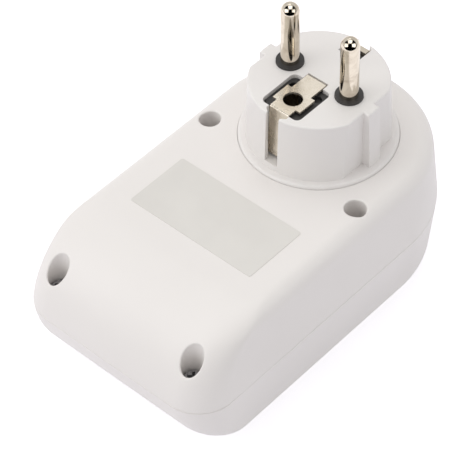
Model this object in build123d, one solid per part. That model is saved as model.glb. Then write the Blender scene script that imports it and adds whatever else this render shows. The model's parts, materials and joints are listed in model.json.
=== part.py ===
"""Plug-in timer switch: a mains plug and a mains socket on one axis, with a display and keys beside them.

Millimetres. +X across the body, +Y towards the plug end, +Z along the plug pins. The timer lies on its
front face: z = 0 is the front plane, and x = y = 0 is the middle of the body's outline.
"""

from build123d import *
import math
import os

# ---------------------------------------------------------------- housing
BODY_LENGTH = 108.7
BODY_WIDTH = 62.2
BODY_DEPTH = 40.0
SPLIT_Z = 20.7
WALL = 2.2
DRAFT = math.radians(5.5)
CORNER_RADIUS = 10.3
BACK_CORNER_RADIUS = 7.1
FRONT_CORNER_RADIUS = 6.0
BACK_EDGE_ROUND = 4.5
FRONT_EDGE_ROUND = 6.5
BACK_NOSE_RUN = 24.0
FRONT_NOSE_RUN = 22.8
WALL_SECTIONS = 6
EDGE_SECTIONS = 8
RIM_CHAMFER = 0.25
LIP_HEIGHT = 1.6
LIP_THICKNESS = 1.0
LIP_CLEARANCE = 0.1

END_RADIUS = BODY_WIDTH / 2
FAR_END_Y = -BODY_LENGTH / 2
END_CENTRE_Y = BODY_LENGTH / 2 - END_RADIUS
BACK_INNER_Z = BODY_DEPTH - WALL

# ---------------------------------------------------------------- housing screws
WELL_RADIUS = 2.8
WELL_BOSS_RADIUS = 4.0
WELL_SEAT_Z = 24.3
WELL_FLOOR = 1.8
WELL_RIM_ROUND = 0.4
PILLAR_RADIUS = 3.3
PILLAR_GAP = 0.2
SCREW_SHANK_RADIUS = 1.45
SCREW_CLEARANCE_RADIUS = 1.6
SCREW_PILOT_RADIUS = 1.5
SCREW_HEAD_RADIUS = 2.6
SCREW_HEAD_HEIGHT = 2.0
SCREW_LENGTH = 12.0
PILOT_FOOT_Z = 11.0
SCREW_POINTS = ((-23.9, 9.7), (23.9, 9.7), (-22.0, -47.4), (22.0, -47.4))

# ---------------------------------------------------------------- plug (CEE 7/7 profile)
PLUG_Y = 24.0
PIN_SPACING = 19.0
PIN_X = PIN_SPACING / 2
PIN_RADIUS = 2.4
PIN_LENGTH = 19.0
PLUG_FACE_Z = 58.3
BOSS_FACE_RADIUS = 17.7
BOSS_BASE_RADIUS = 18.4
BOSS_FLAT_X = 15.9
BOSS_RIB_HALF = 2.1
BOSS_FACE_ROUND = 0.5
BOSS_BORE_RADIUS = 15.0
BOSS_FACE_PLATE = 2.0
FLANGE_RADIUS = 20.4
FLANGE_TOP_Z = 40.9
FLANGE_ROUND = 0.8
PLUG_OPENING_RADIUS = 20.5
RETAINER_RADIUS = 22.6
RETAINER_Z = (35.6, 37.7)
KEY_TAB_HALF = 2.0
KEY_TAB_LENGTH = 1.8
COLLAR_RADIUS = 3.55
COLLAR_PROUD = 0.7
COLLAR_GAP = 0.05
PIN_SHANK_RADIUS = 2.2
PIN_SHOULDER_RADIUS = 3.4
PIN_SHOULDER_Z = (44.2, 45.9)
PIN_TAIL_RADIUS = 1.5
PIN_TAIL_Z = 40.6
PIN_FIT = 0.02

# ---------------------------------------------------------------- plug earth contacts
EARTH_THICKNESS = 0.6
EARTH_FOLD_ROUND = 0.48
EARTH_HALF_WIDTH = 3.0
EARTH_LEG_Y = -15.7
EARTH_FOLD_Y = -14.8
EARTH_PROUD = 0.15
EARTH_GROOVE_HALF = 2.0
EARTH_LIP_Y = (-16.15, -17.0)
EARTH_GROOVE_FOOT_Z = 42.6
EARTH_SLOT_GAP = 0.2
WINDOW_HALF = 6.0
WINDOW_Y = (-15.1, -2.4)
WINDOW_ROUND = 1.5
WINDOW_FLOOR_Z = 57.2
SHOULDER_HALF = 4.35
SHOULDER_Y = (-12.4, -6.8)
TONGUE_Y = -0.9
TONGUE_FOOT_Z = 46.6
EARTH_HOLE_Y = -9.9
EARTH_HOLE_RADIUS = 2.5
SLEEVE_WALL = 0.6
SLEEVE_FOOT_Z = 47.0
REAR_NOTCH_Y = 11.0
REAR_HOOK_Y = 14.45
REAR_HOOK_FOOT_Z = 54.0
STAKE_WELL_RADIUS = 1.2
STAKE_WELL_DEPTH = 0.9
STAKE_WELL_POINTS = ((-3.8, -5.2), (3.8, -5.2))

# ---------------------------------------------------------------- socket (CEE 7/3 recess)
SOCKET_RADIUS = 19.5
SOCKET_DEPTH = 17.5
SOCKET_FLAT_X = 16.5
SOCKET_GROOVE_HALF = 2.9
SOCKET_WALL = 1.6
SOCKET_FLOOR = 2.0
SOCKET_HOLE_RADIUS = 2.75
SOCKET_OPENING_RADIUS = 21.3
SOCKET_RIM_ROUND = 0.5
CUP_FLANGE_RADIUS = 22.6
CUP_FLANGE_Z = (2.3, 3.9)
CLIP_SLOT_HALF = 3.4
CLIP_HALF_WIDTH = 2.6
CLIP_THICKNESS = 0.6
SHUTTER_Z = (19.7, 21.2)
SHUTTER_HUB_RADIUS = 4.6
SHUTTER_BORE_RADIUS = 2.05
SHUTTER_BLADE_RADIUS = 13.4
SHUTTER_BLADE_HALF_ANGLE = 23.0
PIVOT_RADIUS = 2.0
CARRIER_Z = (21.4, 23.0)
CARRIER_RADIUS = 18.6
CARRIER_HOLE_RADIUS = 3.2
TOWER_TOP_Z = 37.3
TOWER_HALF_X = 4.2
TOWER_HALF_Y = 5.5
TOWER_WALL = 1.1
CONTACT_THICKNESS = 0.7
CONTACT_HALF_WIDTH = 3.0

# ---------------------------------------------------------------- control panel
PANEL_DEPTH = 0.6
PANEL_HALF_X = 22.0
PANEL_Y = (-33.8, 1.2)
PANEL_ROUND = 4.0
KEY_ROWS_Y = (-10.6, -2.6)
KEY_PITCH = 10.5
KEY_LENGTH = 8.2
KEY_HEIGHT = 4.6
KEY_GAP = 0.15
KEY_TOP_Z = 0.25
KEY_FLANGE = 0.75
KEY_FLANGE_Z = (2.3, 3.1)
KEY_STEM_RADIUS = 1.7
KEY_STEM_Z = 7.9
RESET_RADIUS = 1.3
RESET_TOP_Z = 0.9

# ---------------------------------------------------------------- display
DISPLAY_Y = -24.4
WINDOW_LENGTH = 38.0
WINDOW_WIDTH = 15.0
LENS_GAP = 0.1
LENS_FLANGE = 1.1
LENS_FLANGE_Z = (2.3, 3.25)
LCD_SIZE = (37.0, 13.6)
LCD_Z = (3.3, 5.9)
FRAME_SIZE = (42.0, 19.6)
FRAME_GAP = 0.1
ZEBRA_LENGTH = 35.6
ZEBRA_WIDTH = 2.0
ZEBRA_OFFSET_Y = 5.5

# ---------------------------------------------------------------- boards
BOARD_THICKNESS = 1.6
DISPLAY_BOARD_Z = 10.2
DISPLAY_BOARD_HALF_X = 25.1
DISPLAY_BOARD_Y = (-34.8, 0.8)
DISPLAY_POSTS = ((-23.2, -30.0), (23.2, -30.0), (-23.2, -1.4), (23.2, -1.4))
POWER_BOARD_Z = 30.0
POWER_BOARD_HALF_X = 23.5
POWER_BOARD_Y = (-42.1, -0.1)
POWER_POSTS = ((-20.8, -37.1), (20.8, -37.1), (-20.8, -3.2), (20.8, -3.2))
POST_RADIUS = 1.8
POST_PILOT_RADIUS = 0.95
BOARD_SCREW_RADIUS = 0.9
BOARD_HOLE_RADIUS = 1.1
BOARD_HEAD_RADIUS = 1.75
BOARD_HEAD_HEIGHT = 1.3
BOARD_SCREW_LENGTH = 5.6
MAT_Z = 9.2
MAT_HALF_X = 20.6
MAT_Y = (-14.2, 0.4)
DOME_TOP_Z = 8.0
CHIP_POINT = (0.0, -24.5)
CHIP_SIZE = 9.0
CRYSTAL_POINT = (9.6, -18.0)
HEADER_Y = -32.8

# ---------------------------------------------------------------- relay, measured from its own foot
RELAY_X = -5.5
RELAY_Y = -14.8
RELAY_SIZE = (19.0, 15.4, 15.2)
RELAY_WALL = 0.7
RELAY_BASE = 1.6
COIL_X = -1.5
COIL_RADIUS = 4.6
COIL_FLANGE_RADIUS = 5.3
COIL_W = (2.8, 11.0)
CORE_RADIUS = 1.5
POLE_RADIUS = 2.8
POLE_W = 11.8
YOKE_X = -7.6
HINGE_W = 11.9
HINGE_RADIUS = 0.35
HINGE_CLEARANCE = 0.05
ARMATURE_W = 12.4
ARMATURE_THICKNESS = 0.8
ARMATURE_HALF_Y = 4.0
ARMATURE_REACH = 7.6
CONTACT_BUTTON_RADIUS = 1.2
CONTACT_TOP_W = 11.05

# ---------------------------------------------------------------- other parts of the power board
DROPPER_POINT = (-9.6, -35.1)
DROPPER_SIZE = (17.2, 8.6, 14.0)
SMOOTHING_POINT = (12.4, -25.2)
CELL_POINT = (14.0, -12.6)
CELL_RADIUS = 5.8
VARISTOR_POINT = (-16.5, -27.0)
RESISTOR_POINT = (0.5, -26.6)

# ---------------------------------------------------------------- label
LABEL_LENGTH = 39.0
LABEL_WIDTH = 18.9
LABEL_Y = -14.75
LABEL_THICKNESS = 0.12
LABEL_ROUND = 0.6


# ================================================================ helpers
def block(x, y, z):
    """A box between two limits on each axis."""
    size = (x[1] - x[0], y[1] - y[0], z[1] - z[0])
    return Pos(x[0] + size[0] / 2, y[0] + size[1] / 2, z[0] + size[2] / 2) * Box(*size)


def rod(radius, x, y, z):
    """A cylinder along Z between two heights."""
    return Pos(x, y, (z[0] + z[1]) / 2) * Cylinder(radius, z[1] - z[0])


def slab(sketch, z):
    """A flat outline, drawn on XY, made solid between two heights."""
    return Pos(0, 0, z[0]) * extrude(sketch, amount=z[1] - z[0])


def strip_x(points, half_width, thickness, x=0.0):
    """A bent metal strip: a chain of (y, z) points, given its thickness, as wide as stated along X."""
    line = Polyline(*[(y, z) for y, z in points])
    face = Plane.YZ * trace(line, line_width=thickness)
    return Pos(x - half_width, 0, 0) * extrude(face, amount=2 * half_width, dir=(1, 0, 0))


def strip_y(points, half_width, thickness, y=0.0):
    """A bent metal strip: a chain of (x, z) points, given its thickness, as wide as stated along Y."""
    line = Polyline(*[(x, z) for x, z in points])
    face = Plane.XZ * trace(line, line_width=thickness)
    return Pos(0, y + half_width, 0) * extrude(face, amount=2 * half_width, dir=(0, -1, 0))


def union(parts):
    """All the parts in one solid or group."""
    parts = list(parts)
    return parts[0].fuse(*parts[1:]) if len(parts) > 1 else parts[0]


def at_plug(shape):
    """Moves what was drawn about the plug axis to its place on the body."""
    return Pos(0, PLUG_Y, 0) * shape


def key_points():
    """Name and centre of each long key, in two rows below the display."""
    names = (("key_clock", "key_timer", "key_week", "key_mode"), ("key_hour", "key_minute", "key_random"))
    points = {}
    for row_y, row in zip(KEY_ROWS_Y, names):
        for column, name in enumerate(row):
            points[name] = ((column - 1.5) * KEY_PITCH, row_y)
    return points


RESET_POINT = (1.5 * KEY_PITCH, KEY_ROWS_Y[1])


# ================================================================ housing
def outline(half, far_y, corner):
    """The body seen along the pins: a half round plug end, straight sides and a square far end."""
    cut = corner * (1 - math.sqrt(0.5))
    round_end = ThreePointArc((half, END_CENTRE_Y), (0, END_CENTRE_Y + half), (-half, END_CENTRE_Y))
    left_corner = ThreePointArc((-half, far_y + corner), (cut - half, far_y + cut), (corner - half, far_y))
    right_corner = ThreePointArc((half - corner, far_y), (half - cut, far_y + cut), (half, far_y + corner))
    return make_face([
        round_end,
        Line((-half, END_CENTRE_Y), (-half, far_y + corner)),
        left_corner,
        Line((corner - half, far_y), (half - corner, far_y)),
        right_corner,
        Line((half, far_y + corner), (half, END_CENTRE_Y)),
    ])


def split_outline(inset):
    """The body's outline on the parting plane, or one that lies inside it."""
    return outline(END_RADIUS - inset, FAR_END_Y + inset, CORNER_RADIUS - inset)


def body_half(inset, back):
    """One half of the body, or with an inset the hollow inside it, lofted from the parting plane outwards.

    The walls lean in by the draft, the last edge is rounded, and the far end curves over in one arc.
    """
    height = (BODY_DEPTH - SPLIT_Z if back else SPLIT_Z) - inset
    edge = (BACK_EDGE_ROUND if back else FRONT_EDGE_ROUND) - inset
    run = (BACK_NOSE_RUN if back else FRONT_NOSE_RUN) - inset
    last_corner = BACK_CORNER_RADIUS if back else FRONT_CORNER_RADIUS
    nose = (run**2 + height**2) / (2 * height)
    edge_foot = height - edge * (1 - math.sin(DRAFT))
    wall = [(edge_foot * i / WALL_SECTIONS, edge_foot * i / WALL_SECTIONS * math.tan(DRAFT))
            for i in range(WALL_SECTIONS)]
    turn = [DRAFT + (math.pi / 2 - DRAFT) * i / (EDGE_SECTIONS - 1) for i in range(EDGE_SECTIONS)]
    wall += [(height - edge * (1 - math.sin(angle)),
              edge_foot * math.tan(DRAFT) + edge * (math.cos(DRAFT) - math.cos(angle))) for angle in turn]
    sections = []
    for rise, lean in wall:
        nose_y = run - math.sqrt(nose**2 - (nose - height + rise)**2)
        corner = CORNER_RADIUS + (last_corner - CORNER_RADIUS) * rise / height
        z = SPLIT_Z + rise if back else SPLIT_Z - rise
        face = outline(END_RADIUS - inset - lean, FAR_END_Y + inset + nose_y, corner - inset)
        sections.append(Pos(0, 0, z) * face)
    return loft(sections)


def rim_edges(solid):
    """The edges on the parting plane."""
    flat = [edge for edge in solid.edges() if abs(edge.bounding_box().size.Z) < 1e-6]
    return [edge for edge in flat if abs(edge.center().Z - SPLIT_Z) < 1e-6]


def well_rims(shell):
    """The mouths of the screw wells on the back surface, as lists of edges."""
    rims = []
    for x, y in SCREW_POINTS:
        for edge in shell.edges():
            points = [edge @ t for t in (0, 0.3, 0.6, 1)]
            off_wall = [abs(math.dist((point.X, point.Y), (x, y)) - WELL_RADIUS) for point in points]
            if max(off_wall) < 0.02 and min(point.Z for point in points) > WELL_SEAT_Z + 1:
                rims.append(edge)
    return rims


def back_cover():
    """Rear shell: round opening for the plug, four deep screw wells and the posts of the power board."""
    shell = body_half(0, back=True)
    shell = chamfer(rim_edges(shell), RIM_CHAMFER)
    outer = shell
    shell -= body_half(WALL, back=True)
    lap = split_outline(WALL - LIP_THICKNESS - LIP_CLEARANCE)
    shell -= slab(lap, (SPLIT_Z - 1, SPLIT_Z + LIP_HEIGHT + LIP_CLEARANCE))
    boss_z = (WELL_SEAT_Z - WELL_FLOOR, BODY_DEPTH + 1)
    bosses = [rod(WELL_BOSS_RADIUS, x, y, boss_z) for x, y in SCREW_POINTS]
    shell += union(bosses) & outer
    post_z = (POWER_BOARD_Z + BOARD_THICKNESS, BACK_INNER_Z + 0.5)
    shell += union(rod(POST_RADIUS, x, y, post_z) for x, y in POWER_POSTS) & outer
    wells = [rod(WELL_RADIUS, x, y, (WELL_SEAT_Z, BODY_DEPTH + 1)) for x, y in SCREW_POINTS]
    wells += [rod(SCREW_CLEARANCE_RADIUS, x, y, (SPLIT_Z, WELL_SEAT_Z + 1)) for x, y in SCREW_POINTS]
    wells += [rod(POST_PILOT_RADIUS, x, y, (post_z[0] - 1, BACK_INNER_Z)) for x, y in POWER_POSTS]
    wells.append(at_plug(rod(PLUG_OPENING_RADIUS, 0, 0, (SPLIT_Z, BODY_DEPTH + 1))))
    shell -= union(wells)
    return fillet(well_rims(shell), WELL_RIM_ROUND)


def front_cover():
    """Front shell: socket opening, sunk control panel, display and key openings, screw pillars."""
    shell = body_half(0, back=False)
    shell = chamfer(rim_edges(shell), RIM_CHAMFER)
    outer = shell
    shell -= body_half(WALL, back=False)
    lip_outer = slab(split_outline(WALL - LIP_THICKNESS), (SPLIT_Z - 1, SPLIT_Z + LIP_HEIGHT))
    lip_inner = slab(split_outline(WALL), (SPLIT_Z - 2, SPLIT_Z + LIP_HEIGHT + 1))
    shell += lip_outer - lip_inner
    pillar_z = (WALL - 0.5, WELL_SEAT_Z - WELL_FLOOR - PILLAR_GAP)
    inside = union([outer, slab(split_outline(WALL + LIP_CLEARANCE), (SPLIT_Z - 1, BODY_DEPTH))])
    shell += union(rod(PILLAR_RADIUS, x, y, pillar_z) for x, y in SCREW_POINTS) & inside
    shell += union(rod(POST_RADIUS, x, y, (WALL - 0.5, DISPLAY_BOARD_Z)) for x, y in DISPLAY_POSTS)
    cuts = [rod(SCREW_PILOT_RADIUS, x, y, (PILOT_FOOT_Z, pillar_z[1] + 1)) for x, y in SCREW_POINTS]
    cuts += [rod(POST_PILOT_RADIUS, x, y, (4.0, DISPLAY_BOARD_Z + 1)) for x, y in DISPLAY_POSTS]
    cuts.append(at_plug(rod(SOCKET_OPENING_RADIUS, 0, 0, (-1, SPLIT_Z))))
    panel_y = (PANEL_Y[0] + PANEL_Y[1]) / 2
    panel = RectangleRounded(2 * PANEL_HALF_X, PANEL_Y[1] - PANEL_Y[0], PANEL_ROUND)
    cuts.append(slab(Pos(0, panel_y) * panel, (-1, PANEL_DEPTH)))
    window = RectangleRounded(WINDOW_LENGTH, WINDOW_WIDTH, 1.0)
    cuts.append(slab(Pos(0, DISPLAY_Y) * window, (-1, WALL + 1)))
    opening = SlotOverall(KEY_LENGTH + 2 * KEY_GAP, KEY_HEIGHT + 2 * KEY_GAP)
    cuts += [slab(Pos(x, y) * opening, (-1, WALL + 1)) for x, y in key_points().values()]
    cuts.append(rod(RESET_RADIUS + KEY_GAP, *RESET_POINT, (-1, WALL + 1)))
    return shell - union(cuts)


def housing_screws():
    """Four pan-head self-tapping screws with a cross recess, at the bottom of the wells."""
    screws = []
    for x, y in SCREW_POINTS:
        top = WELL_SEAT_Z + SCREW_HEAD_HEIGHT
        head = rod(SCREW_HEAD_RADIUS, x, y, (WELL_SEAT_Z, top))
        head = chamfer(head.edges().group_by(Axis.Z)[-1], 0.5)
        shank = rod(SCREW_SHANK_RADIUS, x, y, (WELL_SEAT_Z - SCREW_LENGTH, WELL_SEAT_Z))
        shank = chamfer(shank.edges().group_by(Axis.Z)[0], 0.9)
        cross = Pos(x, y, top) * (Box(2.9, 0.8, 1.6) + Box(0.8, 2.9, 1.6))
        screws.append(head + shank - cross)
    return Compound(screws)


def label_plate():
    """Thin blank sticker on the flat of the back."""
    sticker = RectangleRounded(LABEL_LENGTH, LABEL_WIDTH, LABEL_ROUND)
    return slab(Pos(0, LABEL_Y) * sticker, (BODY_DEPTH, BODY_DEPTH + LABEL_THICKNESS))


# ================================================================ plug head
def side_cuts(flat_x, rib_half, reach, z):
    """What is cut off a round head to leave its side flats, each with a rib down its middle."""
    cuts = []
    for side in (-1, 1):
        x = sorted((side * flat_x, side * reach))
        cuts.append(block(x, (rib_half, reach), z))
        cuts.append(block(x, (-reach, -rib_half), z))
    return union(cuts)


def earth_channel(z):
    """The upright channel of the front earth strap's leg, with lips that slant in to its mouth."""
    half = EARTH_HALF_WIDTH + EARTH_SLOT_GAP
    inner, lip_y, mouth, outside = WINDOW_Y[0] + 1, EARTH_LIP_Y, EARTH_GROOVE_HALF, -BOSS_BASE_RADIUS - 1
    right = [(half, inner), (half, lip_y[0]), (mouth, lip_y[1]), (mouth, outside)]
    left = [(-x, y) for x, y in reversed(right)]
    return slab(make_face(Polyline(*right, *left, close=True)), z)


def earth_front_notches(z_top):
    """The window in the plug face and the T-shaped channel that the front earth strap lies in."""
    width = 2 * WINDOW_HALF
    height = WINDOW_Y[1] - WINDOW_Y[0]
    window = Pos(0, (WINDOW_Y[0] + WINDOW_Y[1]) / 2) * RectangleRounded(width, height, WINDOW_ROUND)
    half = EARTH_HALF_WIDTH + EARTH_SLOT_GAP
    plate_z = (PLUG_FACE_Z - BOSS_FACE_PLATE - 1, z_top)
    return union([
        slab(window, plate_z),
        earth_channel((EARTH_GROOVE_FOOT_Z, z_top)),
        block((-half, half), (WINDOW_Y[1] - 1, TONGUE_Y + 0.7), plate_z),
    ])


def earth_rear_notches(z_top):
    """The notch in the plug face and the channel of the rear earth strap."""
    half = EARTH_HALF_WIDTH + EARTH_SLOT_GAP
    plate_z = (PLUG_FACE_Z - BOSS_FACE_PLATE - 1, z_top)
    channel = Rot(0, 0, 180) * earth_channel((EARTH_GROOVE_FOOT_Z, z_top))
    return channel + block((-half, half), (REAR_NOTCH_Y, -EARTH_LIP_Y[0]), plate_z)


def plug_base():
    """White round insert: keyed boss with draft, soft flange in the cover's opening, retainer below."""
    boss_height = PLUG_FACE_Z - FLANGE_TOP_Z
    boss = Pos(0, 0, FLANGE_TOP_Z + boss_height / 2) * Cone(BOSS_BASE_RADIUS, BOSS_FACE_RADIUS, boss_height)
    boss -= side_cuts(BOSS_FLAT_X, BOSS_RIB_HALF, BODY_WIDTH, (FLANGE_TOP_Z - 1, PLUG_FACE_Z + 1))
    boss = fillet(boss.faces().sort_by(Axis.Z)[-1].edges(), BOSS_FACE_ROUND)
    flange = rod(FLANGE_RADIUS, 0, 0, (RETAINER_Z[0], FLANGE_TOP_Z))
    flange = fillet(flange.edges().group_by(Axis.Z)[-1], FLANGE_ROUND)
    retainer = rod(RETAINER_RADIUS, 0, 0, RETAINER_Z)
    tab = block((-KEY_TAB_HALF, KEY_TAB_HALF), (0, RETAINER_RADIUS + KEY_TAB_LENGTH), RETAINER_Z)
    base = boss + flange + retainer + tab
    base -= rod(BOSS_BORE_RADIUS, 0, 0, (RETAINER_Z[0] - 1, PLUG_FACE_Z - BOSS_FACE_PLATE))
    hole_z = (PLUG_FACE_Z - BOSS_FACE_PLATE - 1, PLUG_FACE_Z + 1)
    base -= union(rod(COLLAR_RADIUS + COLLAR_GAP, x, 0, hole_z) for x in (-PIN_X, PIN_X))
    base -= earth_front_notches(PLUG_FACE_Z + 1)
    base -= earth_rear_notches(PLUG_FACE_Z + 1)
    return at_plug(base)


def pin_carrier():
    """Black inner block that holds both pins and shows as their collars and in the earth window."""
    gap = 0.1
    body_z = (46.0, PLUG_FACE_Z - BOSS_FACE_PLATE - gap)
    body = rod(BOSS_BORE_RADIUS - gap, 0, 0, body_z)
    width = 2 * (WINDOW_HALF - gap)
    height = WINDOW_Y[1] - WINDOW_Y[0] - 2 * gap
    window = Pos(0, (WINDOW_Y[0] + WINDOW_Y[1]) / 2) * RectangleRounded(width, height, WINDOW_ROUND)
    sills = slab(window, (body_z[0] + 1, WINDOW_FLOOR_Z))
    sills &= rod(BOSS_BORE_RADIUS - gap, 0, 0, (0, PLUG_FACE_Z))
    rear_y = (REAR_NOTCH_Y + gap, BOSS_BORE_RADIUS - 0.7)
    sills += block((-EARTH_HALF_WIDTH, EARTH_HALF_WIDTH), rear_y, (body_z[0] + 1, WINDOW_FLOOR_Z))
    body += sills
    for side in (-1, 1):
        body += rod(COLLAR_RADIUS, side * PIN_X, 0, (body_z[0] + 1, PLUG_FACE_Z + COLLAR_PROUD))
    for side in (-1, 1):
        body -= rod(PIN_SHANK_RADIUS + PIN_FIT, side * PIN_X, 0, (body_z[0] - 1, PLUG_FACE_Z + 2))
    sleeve_radius = EARTH_HOLE_RADIUS + SLEEVE_WALL + gap
    body -= rod(sleeve_radius, 0, EARTH_HOLE_Y, (SLEEVE_FOOT_Z - gap, PLUG_FACE_Z))
    tongue_y = (TONGUE_Y - 0.5, TONGUE_Y + 1.3)
    half = EARTH_HALF_WIDTH + EARTH_SLOT_GAP
    body -= block((-half, half), tongue_y, (body_z[0] - 1, PLUG_FACE_Z))
    hook_y = (REAR_HOOK_Y - EARTH_THICKNESS / 2 - gap, BOSS_BORE_RADIUS)
    body -= block((-half, half), hook_y, (REAR_HOOK_FOOT_Z - gap, PLUG_FACE_Z))
    leg_y = (-BOSS_BORE_RADIUS, EARTH_FOLD_Y + EARTH_THICKNESS / 2 + EARTH_SLOT_GAP)
    body -= block((-half, half), leg_y, (body_z[0] - 1, PLUG_FACE_Z))
    stake_z = (WINDOW_FLOOR_Z - STAKE_WELL_DEPTH, PLUG_FACE_Z)
    body -= union(rod(STAKE_WELL_RADIUS, x, y, stake_z) for x, y in STAKE_WELL_POINTS)
    return at_plug(body)


def plug_pin(side):
    """Nickel-plated pin with a round nose, a shoulder under the carrier and a riveting tail."""
    tip = PLUG_FACE_Z + PIN_LENGTH
    collar_z = PLUG_FACE_Z + COLLAR_PROUD
    turned = Polyline(
        (0, tip), (0, PIN_TAIL_Z), (PIN_TAIL_RADIUS, PIN_TAIL_Z), (PIN_TAIL_RADIUS, PIN_SHOULDER_Z[0]),
        (PIN_SHOULDER_RADIUS, PIN_SHOULDER_Z[0]), (PIN_SHOULDER_RADIUS, PIN_SHOULDER_Z[1]),
        (PIN_SHANK_RADIUS, PIN_SHOULDER_Z[1]), (PIN_SHANK_RADIUS, collar_z), (PIN_RADIUS, collar_z),
        (PIN_RADIUS, tip - PIN_RADIUS),
    )
    nose_middle = (PIN_RADIUS * math.sqrt(0.5), tip - PIN_RADIUS * (1 - math.sqrt(0.5)))
    nose = ThreePointArc((PIN_RADIUS, tip - PIN_RADIUS), nose_middle, (0, tip))
    pin = revolve(Plane.XZ * make_face([*turned.edges(), nose]), Axis.Z)
    return at_plug(Pos(side * PIN_X, 0, 0) * pin)


def plug_earth_front():
    """Front earth contact: side leg, fold, plate with the hole for a socket's earth pin, inner tongue."""
    top = PLUG_FACE_Z + EARTH_PROUD - EARTH_THICKNESS / 2
    path = [(EARTH_LEG_Y, EARTH_GROOVE_FOOT_Z + 0.8), (EARTH_FOLD_Y, top), (TONGUE_Y, top),
            (TONGUE_Y, TONGUE_FOOT_Z)]
    strap = strip_x(path, EARTH_HALF_WIDTH, EARTH_THICKNESS)
    plate_z = (top - EARTH_THICKNESS / 2, top + EARTH_THICKNESS / 2)
    strap += block((-SHOULDER_HALF, SHOULDER_HALF), SHOULDER_Y, plate_z)
    fold = [edge for edge in strap.edges().filter_by(Axis.X)
            if edge.center().Z > top and abs(edge.length - 2 * EARTH_HALF_WIDTH) < 0.01]
    strap = fillet(fold, EARTH_FOLD_ROUND)
    strap -= rod(EARTH_HOLE_RADIUS, 0, EARTH_HOLE_Y, (top - 1, top + 1))
    return at_plug(strap)


def plug_earth_rear():
    """Rear earth contact: side leg, fold, short plate and a hook in the carrier."""
    top = PLUG_FACE_Z + EARTH_PROUD - EARTH_THICKNESS / 2
    path = [(-EARTH_LEG_Y, EARTH_GROOVE_FOOT_Z + 0.8), (-EARTH_LEG_Y, top), (REAR_HOOK_Y, top),
            (REAR_HOOK_Y, REAR_HOOK_FOOT_Z)]
    strap = strip_x(path, EARTH_HALF_WIDTH, EARTH_THICKNESS)
    fold = [edge for edge in strap.edges().filter_by(Axis.X)
            if edge.center().Z > top and edge.center().Y > -EARTH_LEG_Y]
    return at_plug(fillet(fold, EARTH_FOLD_ROUND))


def earth_pin_sleeve():
    """Split sleeve under the plate that grips a socket's earth pin."""
    z = (SLEEVE_FOOT_Z, PLUG_FACE_Z + EARTH_PROUD - EARTH_THICKNESS - 0.05)
    outer = EARTH_HOLE_RADIUS + SLEEVE_WALL
    sleeve = rod(outer, 0, EARTH_HOLE_Y, z) - rod(EARTH_HOLE_RADIUS, 0, EARTH_HOLE_Y, (z[0] - 1, z[1] + 1))
    slit = block((-0.4, 0.4), (EARTH_HOLE_Y, EARTH_HOLE_Y + outer + 1), (z[0] - 1, z[1] + 1))
    return at_plug(sleeve - slit)


# ================================================================ socket
def keyed_recess(z):
    """The hollow of the socket: round, with a flat key on each side and a groove down each key."""
    hollow = rod(SOCKET_RADIUS, 0, 0, z)
    return hollow - side_cuts(SOCKET_FLAT_X, SOCKET_GROOVE_HALF, BODY_WIDTH, (z[0] - 1, z[1] + 1))


def socket_cup():
    """White socket insert: keyed cup, pin holes, clip slots, retaining flange and the shutter's pivot."""
    floor_top = SOCKET_DEPTH + SOCKET_FLOOR
    outer = SOCKET_RADIUS + SOCKET_WALL
    cup = rod(outer, 0, 0, (0, floor_top)) + rod(CUP_FLANGE_RADIUS, 0, 0, CUP_FLANGE_Z)
    cup -= keyed_recess((-1, SOCKET_DEPTH))
    mouth = [edge for edge in cup.faces().sort_by(Axis.Z)[0].edges() if edge.length < 90]
    cup = chamfer(mouth, SOCKET_RIM_ROUND)
    for side in (-1, 1):
        cup -= rod(SOCKET_HOLE_RADIUS, side * PIN_X, 0, (SOCKET_DEPTH - 1, floor_top + 1))
        y = sorted((side * (SOCKET_RADIUS - 1.2), side * (outer + 1)))
        cup -= block((-CLIP_SLOT_HALF, CLIP_SLOT_HALF), y, (4.6, floor_top + 1))
    cup += rod(PIVOT_RADIUS, 0, 0, (floor_top - 0.5, CARRIER_Z[1]))
    return at_plug(cup)


def socket_shutter():
    """Child-protection rotor: two ramped blades that cover the pin holes and turn clear of them."""
    hub = rod(SHUTTER_HUB_RADIUS, 0, 0, SHUTTER_Z)
    half_angle = math.radians(SHUTTER_BLADE_HALF_ANGLE)
    corner_x = SHUTTER_BLADE_RADIUS * math.cos(half_angle)
    corner_y = SHUTTER_BLADE_RADIUS * math.sin(half_angle)
    sector = make_face([
        Line((0, 0), (corner_x, -corner_y)),
        ThreePointArc((corner_x, -corner_y), (SHUTTER_BLADE_RADIUS, 0), (corner_x, corner_y)),
        Line((corner_x, corner_y), (0, 0)),
    ])
    blade = slab(sector, SHUTTER_Z)
    rotor = hub + blade + Rot(0, 0, 180) * blade
    rotor -= rod(SHUTTER_BORE_RADIUS, 0, 0, (SHUTTER_Z[0] - 1, SHUTTER_Z[1] + 1))
    return at_plug(rotor)


def shutter_spring():
    """Leaf spring that turns the shutter closed, anchored under the carrier."""
    line = Polyline((-3.0, 13.0), (4.2, 12.6), (7.6, 9.4), (9.0, 4.05))
    leaf = trace(line, line_width=0.35)
    return at_plug(slab(leaf, (SHUTTER_Z[0] + 0.1, SHUTTER_Z[1])))


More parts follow.
